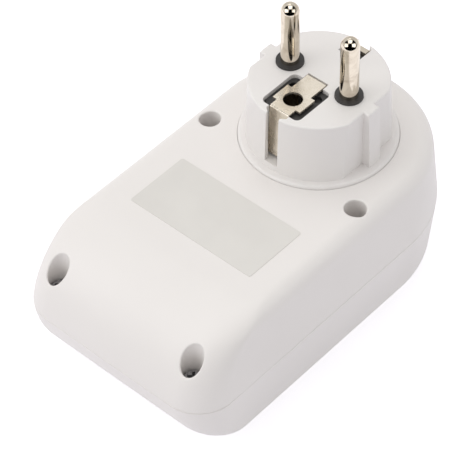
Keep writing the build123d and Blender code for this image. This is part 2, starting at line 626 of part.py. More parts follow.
def contact_carrier():
    """Plate behind the shutter with a tower round each contact."""
    plate = rod(CARRIER_RADIUS, 0, 0, CARRIER_Z)
    towers, cavities = [], []
    for side in (-1, 1):
        x = side * PIN_X
        towers.append(block((x - TOWER_HALF_X, x + TOWER_HALF_X), (-TOWER_HALF_Y, TOWER_HALF_Y),
                            (CARRIER_Z[0], TOWER_TOP_Z)))
        inner_x, inner_y = TOWER_HALF_X - TOWER_WALL, TOWER_HALF_Y - TOWER_WALL
        cavities.append(block((x - inner_x, x + inner_x), (-inner_y, inner_y),
                              (CARRIER_Z[1], TOWER_TOP_Z + 1)))
        cavities.append(rod(CARRIER_HOLE_RADIUS, x, 0, (CARRIER_Z[0] - 1, CARRIER_Z[1] + 1)))
    plate += union(towers)
    plate -= union(cavities)
    plate -= rod(PIVOT_RADIUS + 0.05, 0, 0, (CARRIER_Z[0] - 1, CARRIER_Z[1] + 1))
    tail_slot_z = (28.0, TOWER_TOP_Z + 1)
    x = -PIN_X
    plate -= block((x - 2.2, x + 2.2), (-TOWER_HALF_Y - 1, 0), tail_slot_z)
    return at_plug(plate)


def socket_contact(side):
    """Folded spring contact: two bowed leaves that pinch a pin, joined by a web at the back."""
    web_z = 36.4
    bow = [(3.9, 24.0), (2.55, 27.5), (3.7, 32.0), (3.7, web_z)]
    path = [(-y, z) for y, z in bow] + [(y, z) for y, z in reversed(bow)]
    contact = strip_x(path, CONTACT_HALF_WIDTH, CONTACT_THICKNESS, side * PIN_X)
    return at_plug(contact)


def socket_earth_strap():
    """One folded strap: a sprung clip at the top and bottom of the cup, joined behind the carrier."""
    z_back = CARRIER_Z[1] + CLIP_THICKNESS / 2 + 0.05
    clip = [(16.6, 3.4), (15.6, 6.6), (18.4, 13.6), (19.4, 19.0), (19.4, z_back)]
    path = clip + [(-y, z) for y, z in reversed(clip)]
    return at_plug(strip_x(path, CLIP_HALF_WIDTH, CLIP_THICKNESS))


def earth_link():
    """Strip that joins the socket's earth strap to the plug's earth contact."""
    y = TONGUE_Y + EARTH_THICKNESS + 0.05
    foot = CARRIER_Z[1] + 1.5 * CLIP_THICKNESS + 0.1
    return at_plug(strip_x([(y + 4.0, foot), (y, foot), (y, TONGUE_FOOT_Z + 3)], 2.0, EARTH_THICKNESS))


def live_link():
    """Strip from the live pin's tail down to the power board."""
    x = -PIN_X
    top, board = 42.0, POWER_BOARD_Z + BOARD_THICKNESS + 0.45
    path = [(3.0, top), (-7.6, top), (-7.6, 33.6), (-25.6, 33.6), (-25.6, board)]
    link = strip_x(path, 2.2, 0.8, x)
    return at_plug(link - rod(1.55, x, 0, (top - 1, top + 1)))


def neutral_link():
    """Strip from the neutral pin's tail to the neutral contact."""
    x = PIN_X
    top, web = 42.0, 37.3
    path = [(-3.0, top), (2.4, top), (2.4, web), (-1.0, web)]
    link = strip_x(path, 2.2, 0.8, x)
    return at_plug(link - rod(1.55, x, 0, (top - 1, top + 1)))


def switched_link():
    """Strip from the live contact, out of its tower, to the relay's side of the power board."""
    x = -PIN_X
    path = [(-4.1, 31.2), (-8.0, 31.2), (-8.0, 26.8), (-25.4, 26.8), (-25.4, POWER_BOARD_Z - 0.1)]
    return at_plug(strip_x(path, 1.8, 0.7, x))


# ================================================================ controls and display
def key_cap(x, y):
    """A long key: crowned top, stop flange behind the cover and a stem down to the mat."""
    cap = slab(SlotOverall(KEY_LENGTH, KEY_HEIGHT), (KEY_TOP_Z, KEY_FLANGE_Z[1]))
    cap = chamfer(cap.edges().group_by(Axis.Z)[0], 0.25)
    flange = slab(SlotOverall(KEY_LENGTH + 2 * KEY_FLANGE, KEY_HEIGHT + 2 * KEY_FLANGE), KEY_FLANGE_Z)
    stem = rod(KEY_STEM_RADIUS, 0, 0, (KEY_FLANGE_Z[0], KEY_STEM_Z))
    return Pos(x, y, 0) * (cap + flange + stem)


def key_reset():
    """Small round reset key, sunk below the panel."""
    cap = rod(RESET_RADIUS, 0, 0, (RESET_TOP_Z, KEY_FLANGE_Z[1]))
    flange = rod(RESET_RADIUS + KEY_FLANGE, 0, 0, KEY_FLANGE_Z)
    stem = rod(1.0, 0, 0, (KEY_FLANGE_Z[0], KEY_STEM_Z))
    return Pos(*RESET_POINT, 0) * (cap + flange + stem)


def key_mat():
    """Silicone mat on the display board with a dome under each key."""
    mat = block((-MAT_HALF_X, MAT_HALF_X), MAT_Y, (MAT_Z, DISPLAY_BOARD_Z))
    points = list(key_points().values()) + [RESET_POINT]
    height = MAT_Z - DOME_TOP_Z
    dome = Cone(1.5, 2.6, height)
    mat += union(Pos(x, y, MAT_Z - height / 2) * dome for x, y in points)
    return mat


def display_window():
    """Clear stepped lens, flush with the panel and glued in from behind."""
    front = RectangleRounded(WINDOW_LENGTH - 2 * LENS_GAP, WINDOW_WIDTH - 2 * LENS_GAP, 0.9)
    back = RectangleRounded(WINDOW_LENGTH + 2 * LENS_FLANGE, WINDOW_WIDTH + 2 * LENS_FLANGE, 1.5)
    lens = slab(front, (PANEL_DEPTH, LENS_FLANGE_Z[1])) + slab(back, LENS_FLANGE_Z)
    return Pos(0, DISPLAY_Y, 0) * lens


def lcd_panel():
    """Glass sandwich: a front glass and a longer back glass with the contact ledge."""
    length, width = LCD_SIZE
    middle = (LCD_Z[0] + LCD_Z[1]) / 2
    front = block((-length / 2, length / 2), (-width / 2 + 2.2, width / 2 - 2.2), (LCD_Z[0], middle))
    back = block((-length / 2, length / 2), (-width / 2, width / 2), (middle, LCD_Z[1]))
    return Pos(0, DISPLAY_Y, 0) * (front + back)


def display_frame():
    """Frame that holds the glass and the two contact strips square to the board."""
    length, width = FRAME_SIZE
    z = (LCD_Z[0] + 0.05, DISPLAY_BOARD_Z - 0.05)
    frame = block((-length / 2, length / 2), (-width / 2, width / 2), z)
    glass_x, glass_y = LCD_SIZE[0] / 2 + FRAME_GAP, LCD_SIZE[1] / 2 + FRAME_GAP
    frame -= block((-glass_x, glass_x), (-glass_y, glass_y), (z[0] - 1, LCD_Z[1] + FRAME_GAP / 2))
    strip_x_half, strip_y_half = ZEBRA_LENGTH / 2 + FRAME_GAP, ZEBRA_WIDTH / 2 + FRAME_GAP
    for y in (-ZEBRA_OFFSET_Y, ZEBRA_OFFSET_Y):
        frame -= block((-strip_x_half, strip_x_half), (y - strip_y_half, y + strip_y_half),
                       (LCD_Z[1] - 1, z[1] + 1))
    return Pos(0, DISPLAY_Y, 0) * frame


def zebra_strips():
    """Two elastomer strips that carry the board's signals to the glass."""
    half = ZEBRA_LENGTH / 2
    strips = []
    for side in (-1, 1):
        y = side * ZEBRA_OFFSET_Y
        strips.append(Pos(0, DISPLAY_Y, 0) * block(
            (-half, half), (y - ZEBRA_WIDTH / 2, y + ZEBRA_WIDTH / 2), (LCD_Z[1], DISPLAY_BOARD_Z)))
    return Compound(strips)


def display_board():
    """Board behind the keys and the display, on four posts of the front cover."""
    z = (DISPLAY_BOARD_Z, DISPLAY_BOARD_Z + BOARD_THICKNESS)
    board = block((-DISPLAY_BOARD_HALF_X, DISPLAY_BOARD_HALF_X), DISPLAY_BOARD_Y, z)
    return board - union(rod(BOARD_HOLE_RADIUS, x, y, (z[0] - 1, z[1] + 1)) for x, y in DISPLAY_POSTS)


def controller_chip():
    """Moulded timer chip on the back of the display board, with its legs as two thin feet."""
    z = DISPLAY_BOARD_Z + BOARD_THICKNESS
    body = Pos(0, 0, 0.8) * Box(CHIP_SIZE, CHIP_SIZE, 1.4)
    body = chamfer(body.edges().group_by(Axis.Z)[-1], 0.3)
    leg_row, reach = CHIP_SIZE - 2.0, CHIP_SIZE + 1.8
    legs = Pos(0, 0, 0.15) * (Box(reach, leg_row, 0.3) + Box(leg_row, reach, 0.3))
    return Pos(*CHIP_POINT, z) * (body + legs)


def crystal():
    """Watch crystal can lying on the display board."""
    can = Cylinder(1.0, 6.0)
    lead = Pos(0, 0, -3.9) * Cylinder(0.3, 2.0)
    z = DISPLAY_BOARD_Z + BOARD_THICKNESS + 1.1
    return Pos(*CRYSTAL_POINT, z) * Rot(0, 90, 0) * (can + lead)


def board_link():
    """Six-pin header that joins the two boards."""
    y, first, pitch = HEADER_Y, 1.8, 2.54
    low = DISPLAY_BOARD_Z + BOARD_THICKNESS
    bar = block((first - 1.3, first + 5 * pitch + 1.3), (y - 1.25, y + 1.25), (low, low + 2.5))
    pins = [block((first + i * pitch - 0.32, first + i * pitch + 0.32), (y - 0.32, y + 0.32),
                  (low + 2, POWER_BOARD_Z)) for i in range(6)]
    return bar + union(pins)


def board_screws():
    """Eight small self-tapping screws: four hold each board."""
    screws = []
    for x, y in DISPLAY_POSTS:
        seat = DISPLAY_BOARD_Z + BOARD_THICKNESS
        shank = rod(BOARD_SCREW_RADIUS, x, y, (seat - BOARD_SCREW_LENGTH, seat))
        screws.append(shank + rod(BOARD_HEAD_RADIUS, x, y, (seat, seat + BOARD_HEAD_HEIGHT)))
    for x, y in POWER_POSTS:
        seat = POWER_BOARD_Z
        shank = rod(BOARD_SCREW_RADIUS, x, y, (seat, seat + BOARD_SCREW_LENGTH))
        screws.append(shank + rod(BOARD_HEAD_RADIUS, x, y, (seat - BOARD_HEAD_HEIGHT, seat)))
    return Compound(screws)


# ================================================================ power board
def power_board():
    """Board under the back cover, with its parts hanging towards the front."""
    z = (POWER_BOARD_Z, POWER_BOARD_Z + BOARD_THICKNESS)
    board = block((-POWER_BOARD_HALF_X, POWER_BOARD_HALF_X), POWER_BOARD_Y, z)
    return board - union(rod(BOARD_HOLE_RADIUS, x, y, (z[0] - 1, z[1] + 1)) for x, y in POWER_POSTS)


def on_board(shape):
    """Turns what was drawn standing on its foot upside down and hangs it from the power board."""
    return Pos(0, 0, POWER_BOARD_Z) * Rot(180, 0, 0) * shape


def relay_place(shape):
    """Puts a relay piece, drawn standing about the relay's own middle, in its place."""
    return on_board(Pos(RELAY_X, -RELAY_Y, 0) * shape)


def relay_cover():
    """Dust cover of the relay, open at the foot."""
    length, width, height = RELAY_SIZE
    outer = block((-length / 2, length / 2), (-width / 2, width / 2), (RELAY_BASE, height))
    inner = block((-length / 2 + RELAY_WALL, length / 2 - RELAY_WALL),
                  (-width / 2 + RELAY_WALL, width / 2 - RELAY_WALL), (RELAY_BASE - 1, height - RELAY_WALL))
    return relay_place(outer - inner)


def relay_base():
    """Foot of the relay."""
    length, width, _ = RELAY_SIZE
    return relay_place(block((-length / 2, length / 2), (-width / 2, width / 2), (0, RELAY_BASE)))


def relay_coil():
    """Wound bobbin."""
    low, high = COIL_W
    bobbin = rod(COIL_RADIUS, COIL_X, 0, (low, high))
    bobbin += rod(COIL_FLANGE_RADIUS, COIL_X, 0, (low, low + 0.8))
    bobbin += rod(COIL_FLANGE_RADIUS, COIL_X, 0, (high - 0.8, high))
    return relay_place(bobbin - rod(CORE_RADIUS + 0.05, COIL_X, 0, (low - 1, high + 1)))


def relay_yoke():
    """Bent iron yoke with the core and its pole face."""
    arm_x = (YOKE_X - 0.5, YOKE_X + 0.5)
    arm_y = (-ARMATURE_HALF_Y, ARMATURE_HALF_Y)
    yoke = block(arm_x, arm_y, (RELAY_BASE, POLE_W))
    yoke += block((arm_x[0], COIL_X + 3), arm_y, (RELAY_BASE, COIL_W[0] - 0.1))
    yoke += rod(CORE_RADIUS, COIL_X, 0, (RELAY_BASE, POLE_W))
    yoke += rod(POLE_RADIUS, COIL_X, 0, (COIL_W[1] + 0.1, POLE_W))
    groove = Rot(90, 0, 0) * Cylinder(HINGE_RADIUS + HINGE_CLEARANCE, 3 * ARMATURE_HALF_Y)
    return relay_place(yoke - Pos(YOKE_X, 0, HINGE_W) * groove)


def relay_armature():
    """Hinged iron plate with the moving contact at its free end."""
    z = (ARMATURE_W, ARMATURE_W + ARMATURE_THICKNESS)
    full_y = (-ARMATURE_HALF_Y, ARMATURE_HALF_Y)
    plate = block((YOKE_X - 0.5, ARMATURE_REACH - 3.6), full_y, z)
    plate += block((ARMATURE_REACH - 4, ARMATURE_REACH), (-2, 2), z)
    plate += block((YOKE_X - 0.3, YOKE_X + 0.3), full_y, (HINGE_W, z[0]))
    plate += Pos(YOKE_X, 0, HINGE_W) * Rot(90, 0, 0) * Cylinder(HINGE_RADIUS, 2 * ARMATURE_HALF_Y)
    button = rod(CONTACT_BUTTON_RADIUS, ARMATURE_REACH - 1.5, 0, (z[0] - 0.4, z[0]))
    return relay_place(plate + button)


def relay_contact():
    """Fixed contact post that the armature closes on."""
    x = ARMATURE_REACH - 1.5
    arm_w = CONTACT_TOP_W - 0.85
    post = strip_y([(x + 1.6, RELAY_BASE + 0.05), (x + 1.6, arm_w), (x - 1.6, arm_w)], 1.6, 0.6)
    return relay_place(post + rod(CONTACT_BUTTON_RADIUS, x, 0, (arm_w + 0.1, CONTACT_TOP_W)))


def dropper_capacitor():
    """Boxed film capacitor that drops the mains voltage."""
    length, width, height = DROPPER_SIZE
    can = Pos(0, 0, height / 2) * Box(length, width, height)
    can = chamfer(can.edges().group_by(Axis.Z)[-1], 0.6)
    return on_board(Pos(DROPPER_POINT[0], -DROPPER_POINT[1]) * can)


def smoothing_capacitor():
    """Electrolytic can with its rolled neck."""
    half_can = Polyline((0, 0.3), (4.0, 0.3), (4.0, 1.6), (3.6, 1.9), (4.0, 2.2), (4.0, 12.0), (0, 12.0),
                        close=True)
    can = revolve(Plane.XZ * make_face(half_can), Axis.Z)
    return on_board(Pos(SMOOTHING_POINT[0], -SMOOTHING_POINT[1]) * can)


def backup_battery():
    """Rechargeable button cell that keeps the clock, on its two tags."""
    cell = rod(CELL_RADIUS, 0, 0, (1.0, 6.4))
    cell = chamfer(cell.edges().group_by(Axis.Z)[-1], 0.5)
    tag = Pos(CELL_RADIUS - 0.4, 0, 2.5) * Box(1.2, 2.4, 5.0)
    cell += tag + Rot(0, 0, 180) * tag
    return on_board(Pos(CELL_POINT[0], -CELL_POINT[1]) * cell)


def varistor():
    """Disc varistor across the mains."""
    disc = Pos(0, 0, 5.0) * Rot(90, 0, 0) * Cylinder(3.6, 2.8)
    disc += union(Pos(x, 0, 1.75) * Box(0.6, 0.6, 3.5) for x in (-2.1, 2.1))
    return on_board(Pos(VARISTOR_POINT[0], -VARISTOR_POINT[1]) * disc)


def fuse_resistor():
    """Fusible resistor lying on its two legs."""
    resistor = Pos(0, 0, 2.4) * Rot(0, 90, 0) * (Cylinder(1.6, 8.0) + Cylinder(0.3, 10.4))
    resistor += union(Pos(x, 0, 1.25) * Box(0.6, 0.6, 2.5) for x in (-5.1, 5.1))
    return on_board(Pos(RESISTOR_POINT[0], -RESISTOR_POINT[1]) * resistor)


# ================================================================ all nodes
NODES = {
    "back_cover": back_cover,
    "front_cover": front_cover,
    "housing_screws": housing_screws,
    "label_plate": label_plate,
    "plug_base": plug_base,
    "pin_carrier": pin_carrier,
    "pin_live": lambda: plug_pin(-1),
    "pin_neutral": lambda: plug_pin(1),
    "plug_earth_front": plug_earth_front,
    "plug_earth_rear": plug_earth_rear,
    "earth_pin_sleeve": earth_pin_sleeve,
    "socket_cup": socket_cup,
    "socket_shutter": socket_shutter,
    "shutter_spring": shutter_spring,
    "contact_carrier": contact_carrier,
    "contact_live": lambda: socket_contact(-1),
    "contact_neutral": lambda: socket_contact(1),
    "socket_earth_strap": socket_earth_strap,
    "earth_link": earth_link,
    "live_link": live_link,
    "neutral_link": neutral_link,
    "switched_link": switched_link,
    "key_reset": key_reset,
    "key_mat": key_mat,
    "display_window": display_window,
    "lcd_panel": lcd_panel,
    "display_frame": display_frame,
    "zebra_strips": zebra_strips,
    "display_board": display_board,
    "controller_chip": controller_chip,
    "crystal": crystal,
    "board_link": board_link,
    "board_screws": board_screws,
    "power_board": power_board,
    "relay_cover": relay_cover,
    "relay_base": relay_base,
    "relay_coil": relay_coil,
    "relay_yoke": relay_yoke,
    "relay_armature": relay_armature,
    "relay_contact": relay_contact,
    "dropper_capacitor": dropper_capacitor,
    "smoothing_capacitor": smoothing_capacitor,
    "backup_battery": backup_battery,
    "varistor": varistor,
    "fuse_resistor": fuse_resistor,
}


def main():
    os.makedirs("parts", exist_ok=True)
    for name, build in NODES.items():
        export_step(build(), f"parts/{name}.step")
    for name, (x, y) in key_points().items():
        export_step(key_cap(x, y), f"parts/{name}.step")


main()
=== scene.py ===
"""Dresses the plug-in timer switch: a finish for every piece, the finer pieces, and the studio."""

import json
import logging
import math
from dataclasses import dataclass, field
from enum import Enum
from typing import ClassVar, Mapping, Sequence

import bmesh
import bpy
from mathutils import Euler, Matrix, Vector


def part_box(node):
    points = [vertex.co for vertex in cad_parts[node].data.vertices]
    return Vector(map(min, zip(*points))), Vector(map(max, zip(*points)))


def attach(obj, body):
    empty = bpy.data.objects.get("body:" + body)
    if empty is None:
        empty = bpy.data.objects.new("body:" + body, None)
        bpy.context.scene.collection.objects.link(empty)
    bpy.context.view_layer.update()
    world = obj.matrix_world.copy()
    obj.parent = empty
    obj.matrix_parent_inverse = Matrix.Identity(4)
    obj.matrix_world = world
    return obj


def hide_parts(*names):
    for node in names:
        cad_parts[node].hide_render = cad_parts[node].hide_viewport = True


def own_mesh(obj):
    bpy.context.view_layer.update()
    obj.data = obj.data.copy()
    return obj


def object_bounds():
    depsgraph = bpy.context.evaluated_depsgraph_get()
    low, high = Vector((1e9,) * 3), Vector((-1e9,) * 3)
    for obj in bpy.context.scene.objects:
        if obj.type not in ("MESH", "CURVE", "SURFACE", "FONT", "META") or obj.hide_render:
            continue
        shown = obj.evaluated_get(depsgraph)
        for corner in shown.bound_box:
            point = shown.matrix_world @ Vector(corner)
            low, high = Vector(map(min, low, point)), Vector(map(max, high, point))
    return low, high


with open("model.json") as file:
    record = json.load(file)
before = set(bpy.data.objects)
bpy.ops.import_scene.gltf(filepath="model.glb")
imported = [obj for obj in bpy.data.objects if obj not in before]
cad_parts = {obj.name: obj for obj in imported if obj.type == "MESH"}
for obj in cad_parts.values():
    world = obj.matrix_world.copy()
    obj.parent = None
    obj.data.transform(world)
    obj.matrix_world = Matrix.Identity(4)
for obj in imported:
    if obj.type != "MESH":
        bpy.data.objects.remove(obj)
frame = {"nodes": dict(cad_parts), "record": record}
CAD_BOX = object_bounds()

LOG = logging.getLogger("timer_switch")
MM = 0.001
Colour = tuple[float, float, float]
Points = tuple[tuple[float, float], ...]
Run = tuple[tuple[float | None, float | None], tuple[float, float]]


def srgb(red: int, green: int, blue: int) -> Colour:
    """Turns an 8-bit display colour into linear light.

    Args:
        red: Red, 0 to 255.
        green: Green, 0 to 255.
        blue: Blue, 0 to 255.

    Returns:
        The colour in linear light, 0 to 1.
    """
    def linear(value: int) -> float:
        """One channel in linear light."""
        part = value / 255
        return part / 12.92 if part <= 0.04045 else ((part + 0.055) / 1.055) ** 2.4

    return linear(red), linear(green), linear(blue)


# ---------------------------------------------------------------- node trees
class NodeLayout:
    """Adds nodes to a tree, sets their inputs and joins them."""

    def __init__(self, tree: bpy.types.NodeTree) -> None:
        """Args: tree: The tree to lay out."""
        self.tree = tree

    def add(self, kind: str, inputs: Mapping[str | int, object] | None = None,
            **settings: object) -> bpy.types.Node:
        """Adds one node.

        Args:
            kind: Blender's name of the node type.
            inputs: Value, socket to join, or list of sockets, for each input by name or number.
            settings: The node's own properties.

        Returns:
            The new node.
        """
        node = self.tree.nodes.new(kind)
        for key, value in settings.items():
            setattr(node, key, value)
        for key, value in (inputs or {}).items():
            for source in value if isinstance(value, list) else [value]:
                self.feed(node.inputs[key], source)
        return node

    def feed(self, target: bpy.types.NodeSocket, value: object) -> None:
        """Joins a socket to another one, or sets its value.

        Args:
            target: The input.
            value: Number, vector, colour, material or socket.
        """
        if isinstance(value, bpy.types.NodeSocket):
            self.tree.links.new(value, target)
        else:
            target.default_value = value

    def sum_of(self, first: object, second: object, operation: str = "ADD") -> bpy.types.NodeSocket:
        """One step of arithmetic.

        Args:
            first: Number or socket.
            second: Number or socket.
            operation: Blender's name of the step.

        Returns:
            The result.
        """
        return self.add("ShaderNodeMath", {0: first, 1: second}, operation=operation).outputs[0]


def bare_layout(owner: bpy.types.Material | bpy.types.World) -> NodeLayout:
    """Empties the node tree of a material or a world.

    Args:
        owner: The material or the world.

    Returns:
        The layout of its tree.
    """
    owner.use_nodes = True
    owner.node_tree.nodes.clear()
    return NodeLayout(owner.node_tree)


def linked(name: str, data: bpy.types.ID) -> bpy.types.Object:
    """Puts a new object in the scene.

    Args:
        name: Its name.
        data: Its mesh, lamp or camera.

    Returns:
        The object.
    """
    made = bpy.data.objects.new(name, data)
    bpy.context.scene.collection.objects.link(made)
    return made


def evaluated_mesh(draft: bpy.types.Object) -> bpy.types.Mesh:
    """The plain mesh that a draft and its modifiers come to."""
    return bpy.data.meshes.new_from_object(draft.evaluated_get(bpy.context.evaluated_depsgraph_get()))


class EffectGroup:
    """A shader node group with named inputs and outputs, built once and used by many finishes."""

    def __init__(self, name: str, inputs: Mapping[str, float | None], outputs: Sequence[str]) -> None:
        """Opens an empty group.

        Args:
            name: Name of the group.
            inputs: Default of each number input; None makes it a vector.
            outputs: Names of the number outputs.
        """
        self.tree = bpy.data.node_groups.new(name, "ShaderNodeTree")
        for label, default in inputs.items():
            kind = "NodeSocketVector" if default is None else "NodeSocketFloat"
            socket = self.tree.interface.new_socket(name=label, in_out="INPUT", socket_type=kind)
            if default is not None:
                socket.default_value = default
        for label in outputs:
            self.tree.interface.new_socket(name=label, in_out="OUTPUT", socket_type="NodeSocketFloat")
        self.layout = NodeLayout(self.tree)
        self.given = self.layout.add("NodeGroupInput").outputs

    def deliver(self, results: Mapping[str, bpy.types.NodeSocket]) -> bpy.types.NodeTree:
        """Joins the results to the group's outputs.

        Args:
            results: Socket for each output by name.

        Returns:
            The finished group.
        """
        self.layout.add("NodeGroupOutput", dict(results))
        return self.tree


class Effects:
    """The shared surface effects of all finishes."""

    def __init__(self) -> None:
        """Builds every group."""
        self.grain = self._grain()
        self.streaks = self._streaks()
        self.specks = self._specks()

    @staticmethod
    def _grain() -> bpy.types.NodeTree:
        """Fine moulded or cast grain with slow clouding over it.

        Returns:
            Group with outputs Height and Cloud, both 0 to 1.
        """
        group = EffectGroup("surface_grain", {"Vector": None, "Grain": 2500.0, "Cloud": 40.0},
                            ["Height", "Cloud"])
        fine = group.layout.add("ShaderNodeTexNoise", {
            "Vector": group.given["Vector"], "Scale": group.given["Grain"], "Detail": 3.0,
            "Roughness": 0.6})
        slow = group.layout.add("ShaderNodeTexNoise", {
            "Vector": group.given["Vector"], "Scale": group.given["Cloud"], "Detail": 2.0})
        cloud = group.layout.add("ShaderNodeMapRange", {
            "Value": slow.outputs["Fac"], "From Min": 0.3, "From Max": 0.7})
        return group.deliver({"Height": fine.outputs["Fac"], "Cloud": cloud.outputs["Result"]})

    @staticmethod
    def _streaks() -> bpy.types.NodeTree:
        """Drawn or turned lines along Z, broken up by smudges.

        Returns:
            Group with outputs Line and Smudge, both 0 to 1.
        """
        group = EffectGroup("drawn_streaks",
                            {"Vector": None, "Lines": 1800.0, "Stretch": 0.06, "Smudge": 220.0},
                            ["Line", "Smudge"])
        squeeze = group.layout.add("ShaderNodeCombineXYZ", {
            "X": 1.0, "Y": 1.0, "Z": group.given["Stretch"]})
        drawn = group.layout.add("ShaderNodeVectorMath", {
            0: group.given["Vector"], 1: squeeze.outputs["Vector"]}, operation="MULTIPLY")
        lines = group.layout.add("ShaderNodeTexNoise", {
            "Vector": drawn.outputs["Vector"], "Scale": group.given["Lines"], "Detail": 2.0})
        smudge = group.layout.add("ShaderNodeTexNoise", {
            "Vector": group.given["Vector"], "Scale": group.given["Smudge"], "Detail": 4.0,
            "Roughness": 0.65, "Distortion": 0.8})
        clear = group.layout.add("ShaderNodeMapRange", {
            "Value": smudge.outputs["Fac"], "From Min": 0.42, "From Max": 0.68})
        return group.deliver({"Line": lines.outputs["Fac"], "Smudge": clear.outputs["Result"]})

    @staticmethod
    def _specks() -> bpy.types.NodeTree:
        """Sparse round specks, such as dust or bubbles.

        Returns:
            Group with output Mask, 1 on a speck.
        """
        group = EffectGroup("specks", {"Vector": None, "Scale": 60.0, "Size": 0.03, "Rarity": 0.6},
                            ["Mask"])
        cells = group.layout.add("ShaderNodeTexVoronoi", {
            "Vector": group.given["Vector"], "Scale": group.given["Scale"]})
        sums = group.layout.sum_of
        near = sums(cells.outputs["Distance"], group.given["Size"], "LESS_THAN")
        tone = group.layout.add("ShaderNodeSeparateColor", {"Color": cells.outputs["Color"]})
        rare = sums(tone.outputs["Red"], group.given["Rarity"], "GREATER_THAN")
        return group.deliver({"Mask": sums(near, rare, "MULTIPLY")})


EFFECTS = Effects()


# ---------------------------------------------------------------- finishes
class Surface:
    """A material under construction: the shader, its coordinates and the helpers that vary it."""

    def __init__(self, name: str) -> None:
        """Args: name: Name of the material."""
        self.material = bpy.data.materials.new(name)
        self.layout = bare_layout(self.material)
        self.place = self.layout.add("ShaderNodeTexCoord").outputs["Object"]
        self.shader = self.layout.add("ShaderNodeBsdfPrincipled")
        self.layout.add("ShaderNodeOutputMaterial", {"Surface": self.shader.outputs["BSDF"]})

    def effect(self, group: bpy.types.NodeTree, vector: bpy.types.NodeSocket | None = None,
               **inputs: float) -> bpy.types.bpy_prop_collection:
        """Places a shared effect.

        Args:
            group: The effect's node group.
            vector: Coordinates; the object's own when left out.
            inputs: The effect's own values.

        Returns:
            The effect's outputs.
        """
        node = self.layout.add("ShaderNodeGroup", node_tree=group)
        for key, value in {"Vector": vector or self.place, **inputs}.items():
            self.layout.feed(node.inputs[key], value)
        return node.outputs

    def mix(self, amount: bpy.types.NodeSocket, low: object, high: object) -> bpy.types.NodeSocket:
        """Mixes two colours.

        Args:
            amount: Mask from 0, all low, to 1, all high.
            low: Colour or socket.
            high: Colour or socket.

        Returns:
            The mixed colour.
        """
        values = [value if isinstance(value, bpy.types.NodeSocket) else (*value, 1.0)
                  for value in (low, high)]
        return self.layout.add("ShaderNodeMix", {0: amount, 6: values[0], 7: values[1]},
                               data_type="RGBA").outputs[2]

    def between(self, amount: bpy.types.NodeSocket, low: float, high: float) -> bpy.types.NodeSocket:
        """Maps a 0 to 1 value onto a range.

        Args:
            amount: The value.
            low: Result at 0.
            high: Result at 1.

        Returns:
            The mapped value.
        """
        return self.layout.add("ShaderNodeMapRange", {
            "Value": amount, "To Min": low, "To Max": high}).outputs["Result"]

    def relief(self, height: bpy.types.NodeSocket, depth_mm: float) -> None:
        """Gives the shader a bump.

        Args:
            height: Height, 0 to 1.
            depth_mm: Depth of the relief in millimetres.
        """
        bump = self.layout.add("ShaderNodeBump", {
            "Height": height, "Distance": depth_mm * MM, "Strength": 1.0})
        self.drive("Normal", bump.outputs["Normal"])

    def drive(self, socket: str, value: object) -> None:
        """Sets or joins one of the shader's sockets.

        Args:
            socket: Name of the socket.
            value: Number, colour or socket.
        """
        given = (*value, 1.0) if isinstance(value, tuple) else value
        self.layout.feed(self.shader.inputs[socket], given)


@dataclass(frozen=True)
class Moulding:
    """Injection-moulded plastic: slight clouding of colour and gloss over a fine grain."""

    name: str
    colour: Colour
    cloud_colour: Colour
    roughness: tuple[float, float] = (0.42, 0.5)
    grain: float = 2600.0
    grain_depth_mm: float = 0.004
    cloud: float = 45.0
    specular: float = 0.4

    def material(self) -> bpy.types.Material:
        """Builds the material.

        Returns:
            The finished material.
        """
        surface = Surface(self.name)
        grain = surface.effect(EFFECTS.grain, Grain=self.grain, Cloud=self.cloud)
        surface.drive("Base Color", surface.mix(grain["Cloud"], self.colour, self.cloud_colour))
        surface.drive("Roughness", surface.between(grain["Cloud"], *self.roughness))
        surface.drive("Specular IOR Level", self.specular)
        surface.relief(grain["Height"], self.grain_depth_mm)
        return surface.material


@dataclass(frozen=True)
class Plating:
    """Plated or bare metal: drawn lines, smudges and a slight change of tint."""

    name: str
    colour: Colour
    tint: Colour
    roughness: tuple[float, float] = (0.12, 0.3)
    lines: float = 1800.0
    stretch: float = 0.06
    smudge: float = 220.0
    depth_mm: float = 0.002
    metallic: float = 1.0

    def material(self) -> bpy.types.Material:
        """Builds the material.

        Returns:
            The finished material.
        """
        surface = Surface(self.name)
        drawn = surface.effect(EFFECTS.streaks, Lines=self.lines, Stretch=self.stretch,
                               Smudge=self.smudge)
        surface.drive("Base Color", surface.mix(drawn["Smudge"], self.colour, self.tint))
        surface.drive("Roughness", surface.between(drawn["Smudge"], *self.roughness))
        surface.drive("Metallic", self.metallic)
        surface.relief(drawn["Line"], self.depth_mm)
        return surface.material


@dataclass(frozen=True)
class Film:
    """Printed-stock label film: satin, with a faint pulp grain and a few trapped bubbles."""

    name: str
    colour: Colour
    cloud_colour: Colour
    roughness: tuple[float, float] = (0.36, 0.46)
    relief_mm: float = 0.006

    def material(self) -> bpy.types.Material:
        """Builds the material.

        Returns:
            The finished material.
        """
        surface = Surface(self.name)
        grain = surface.effect(EFFECTS.grain, Grain=1500.0, Cloud=90.0)
        bubbles = surface.effect(EFFECTS.specks, Scale=230.0, Size=0.16, Rarity=0.8)
        surface.drive("Base Color", surface.mix(grain["Cloud"], self.colour, self.cloud_colour))
        surface.drive("Roughness", surface.between(grain["Cloud"], *self.roughness))
        surface.relief(surface.layout.sum_of(grain["Height"], bubbles["Mask"]), self.relief_mm)
        return surface.material


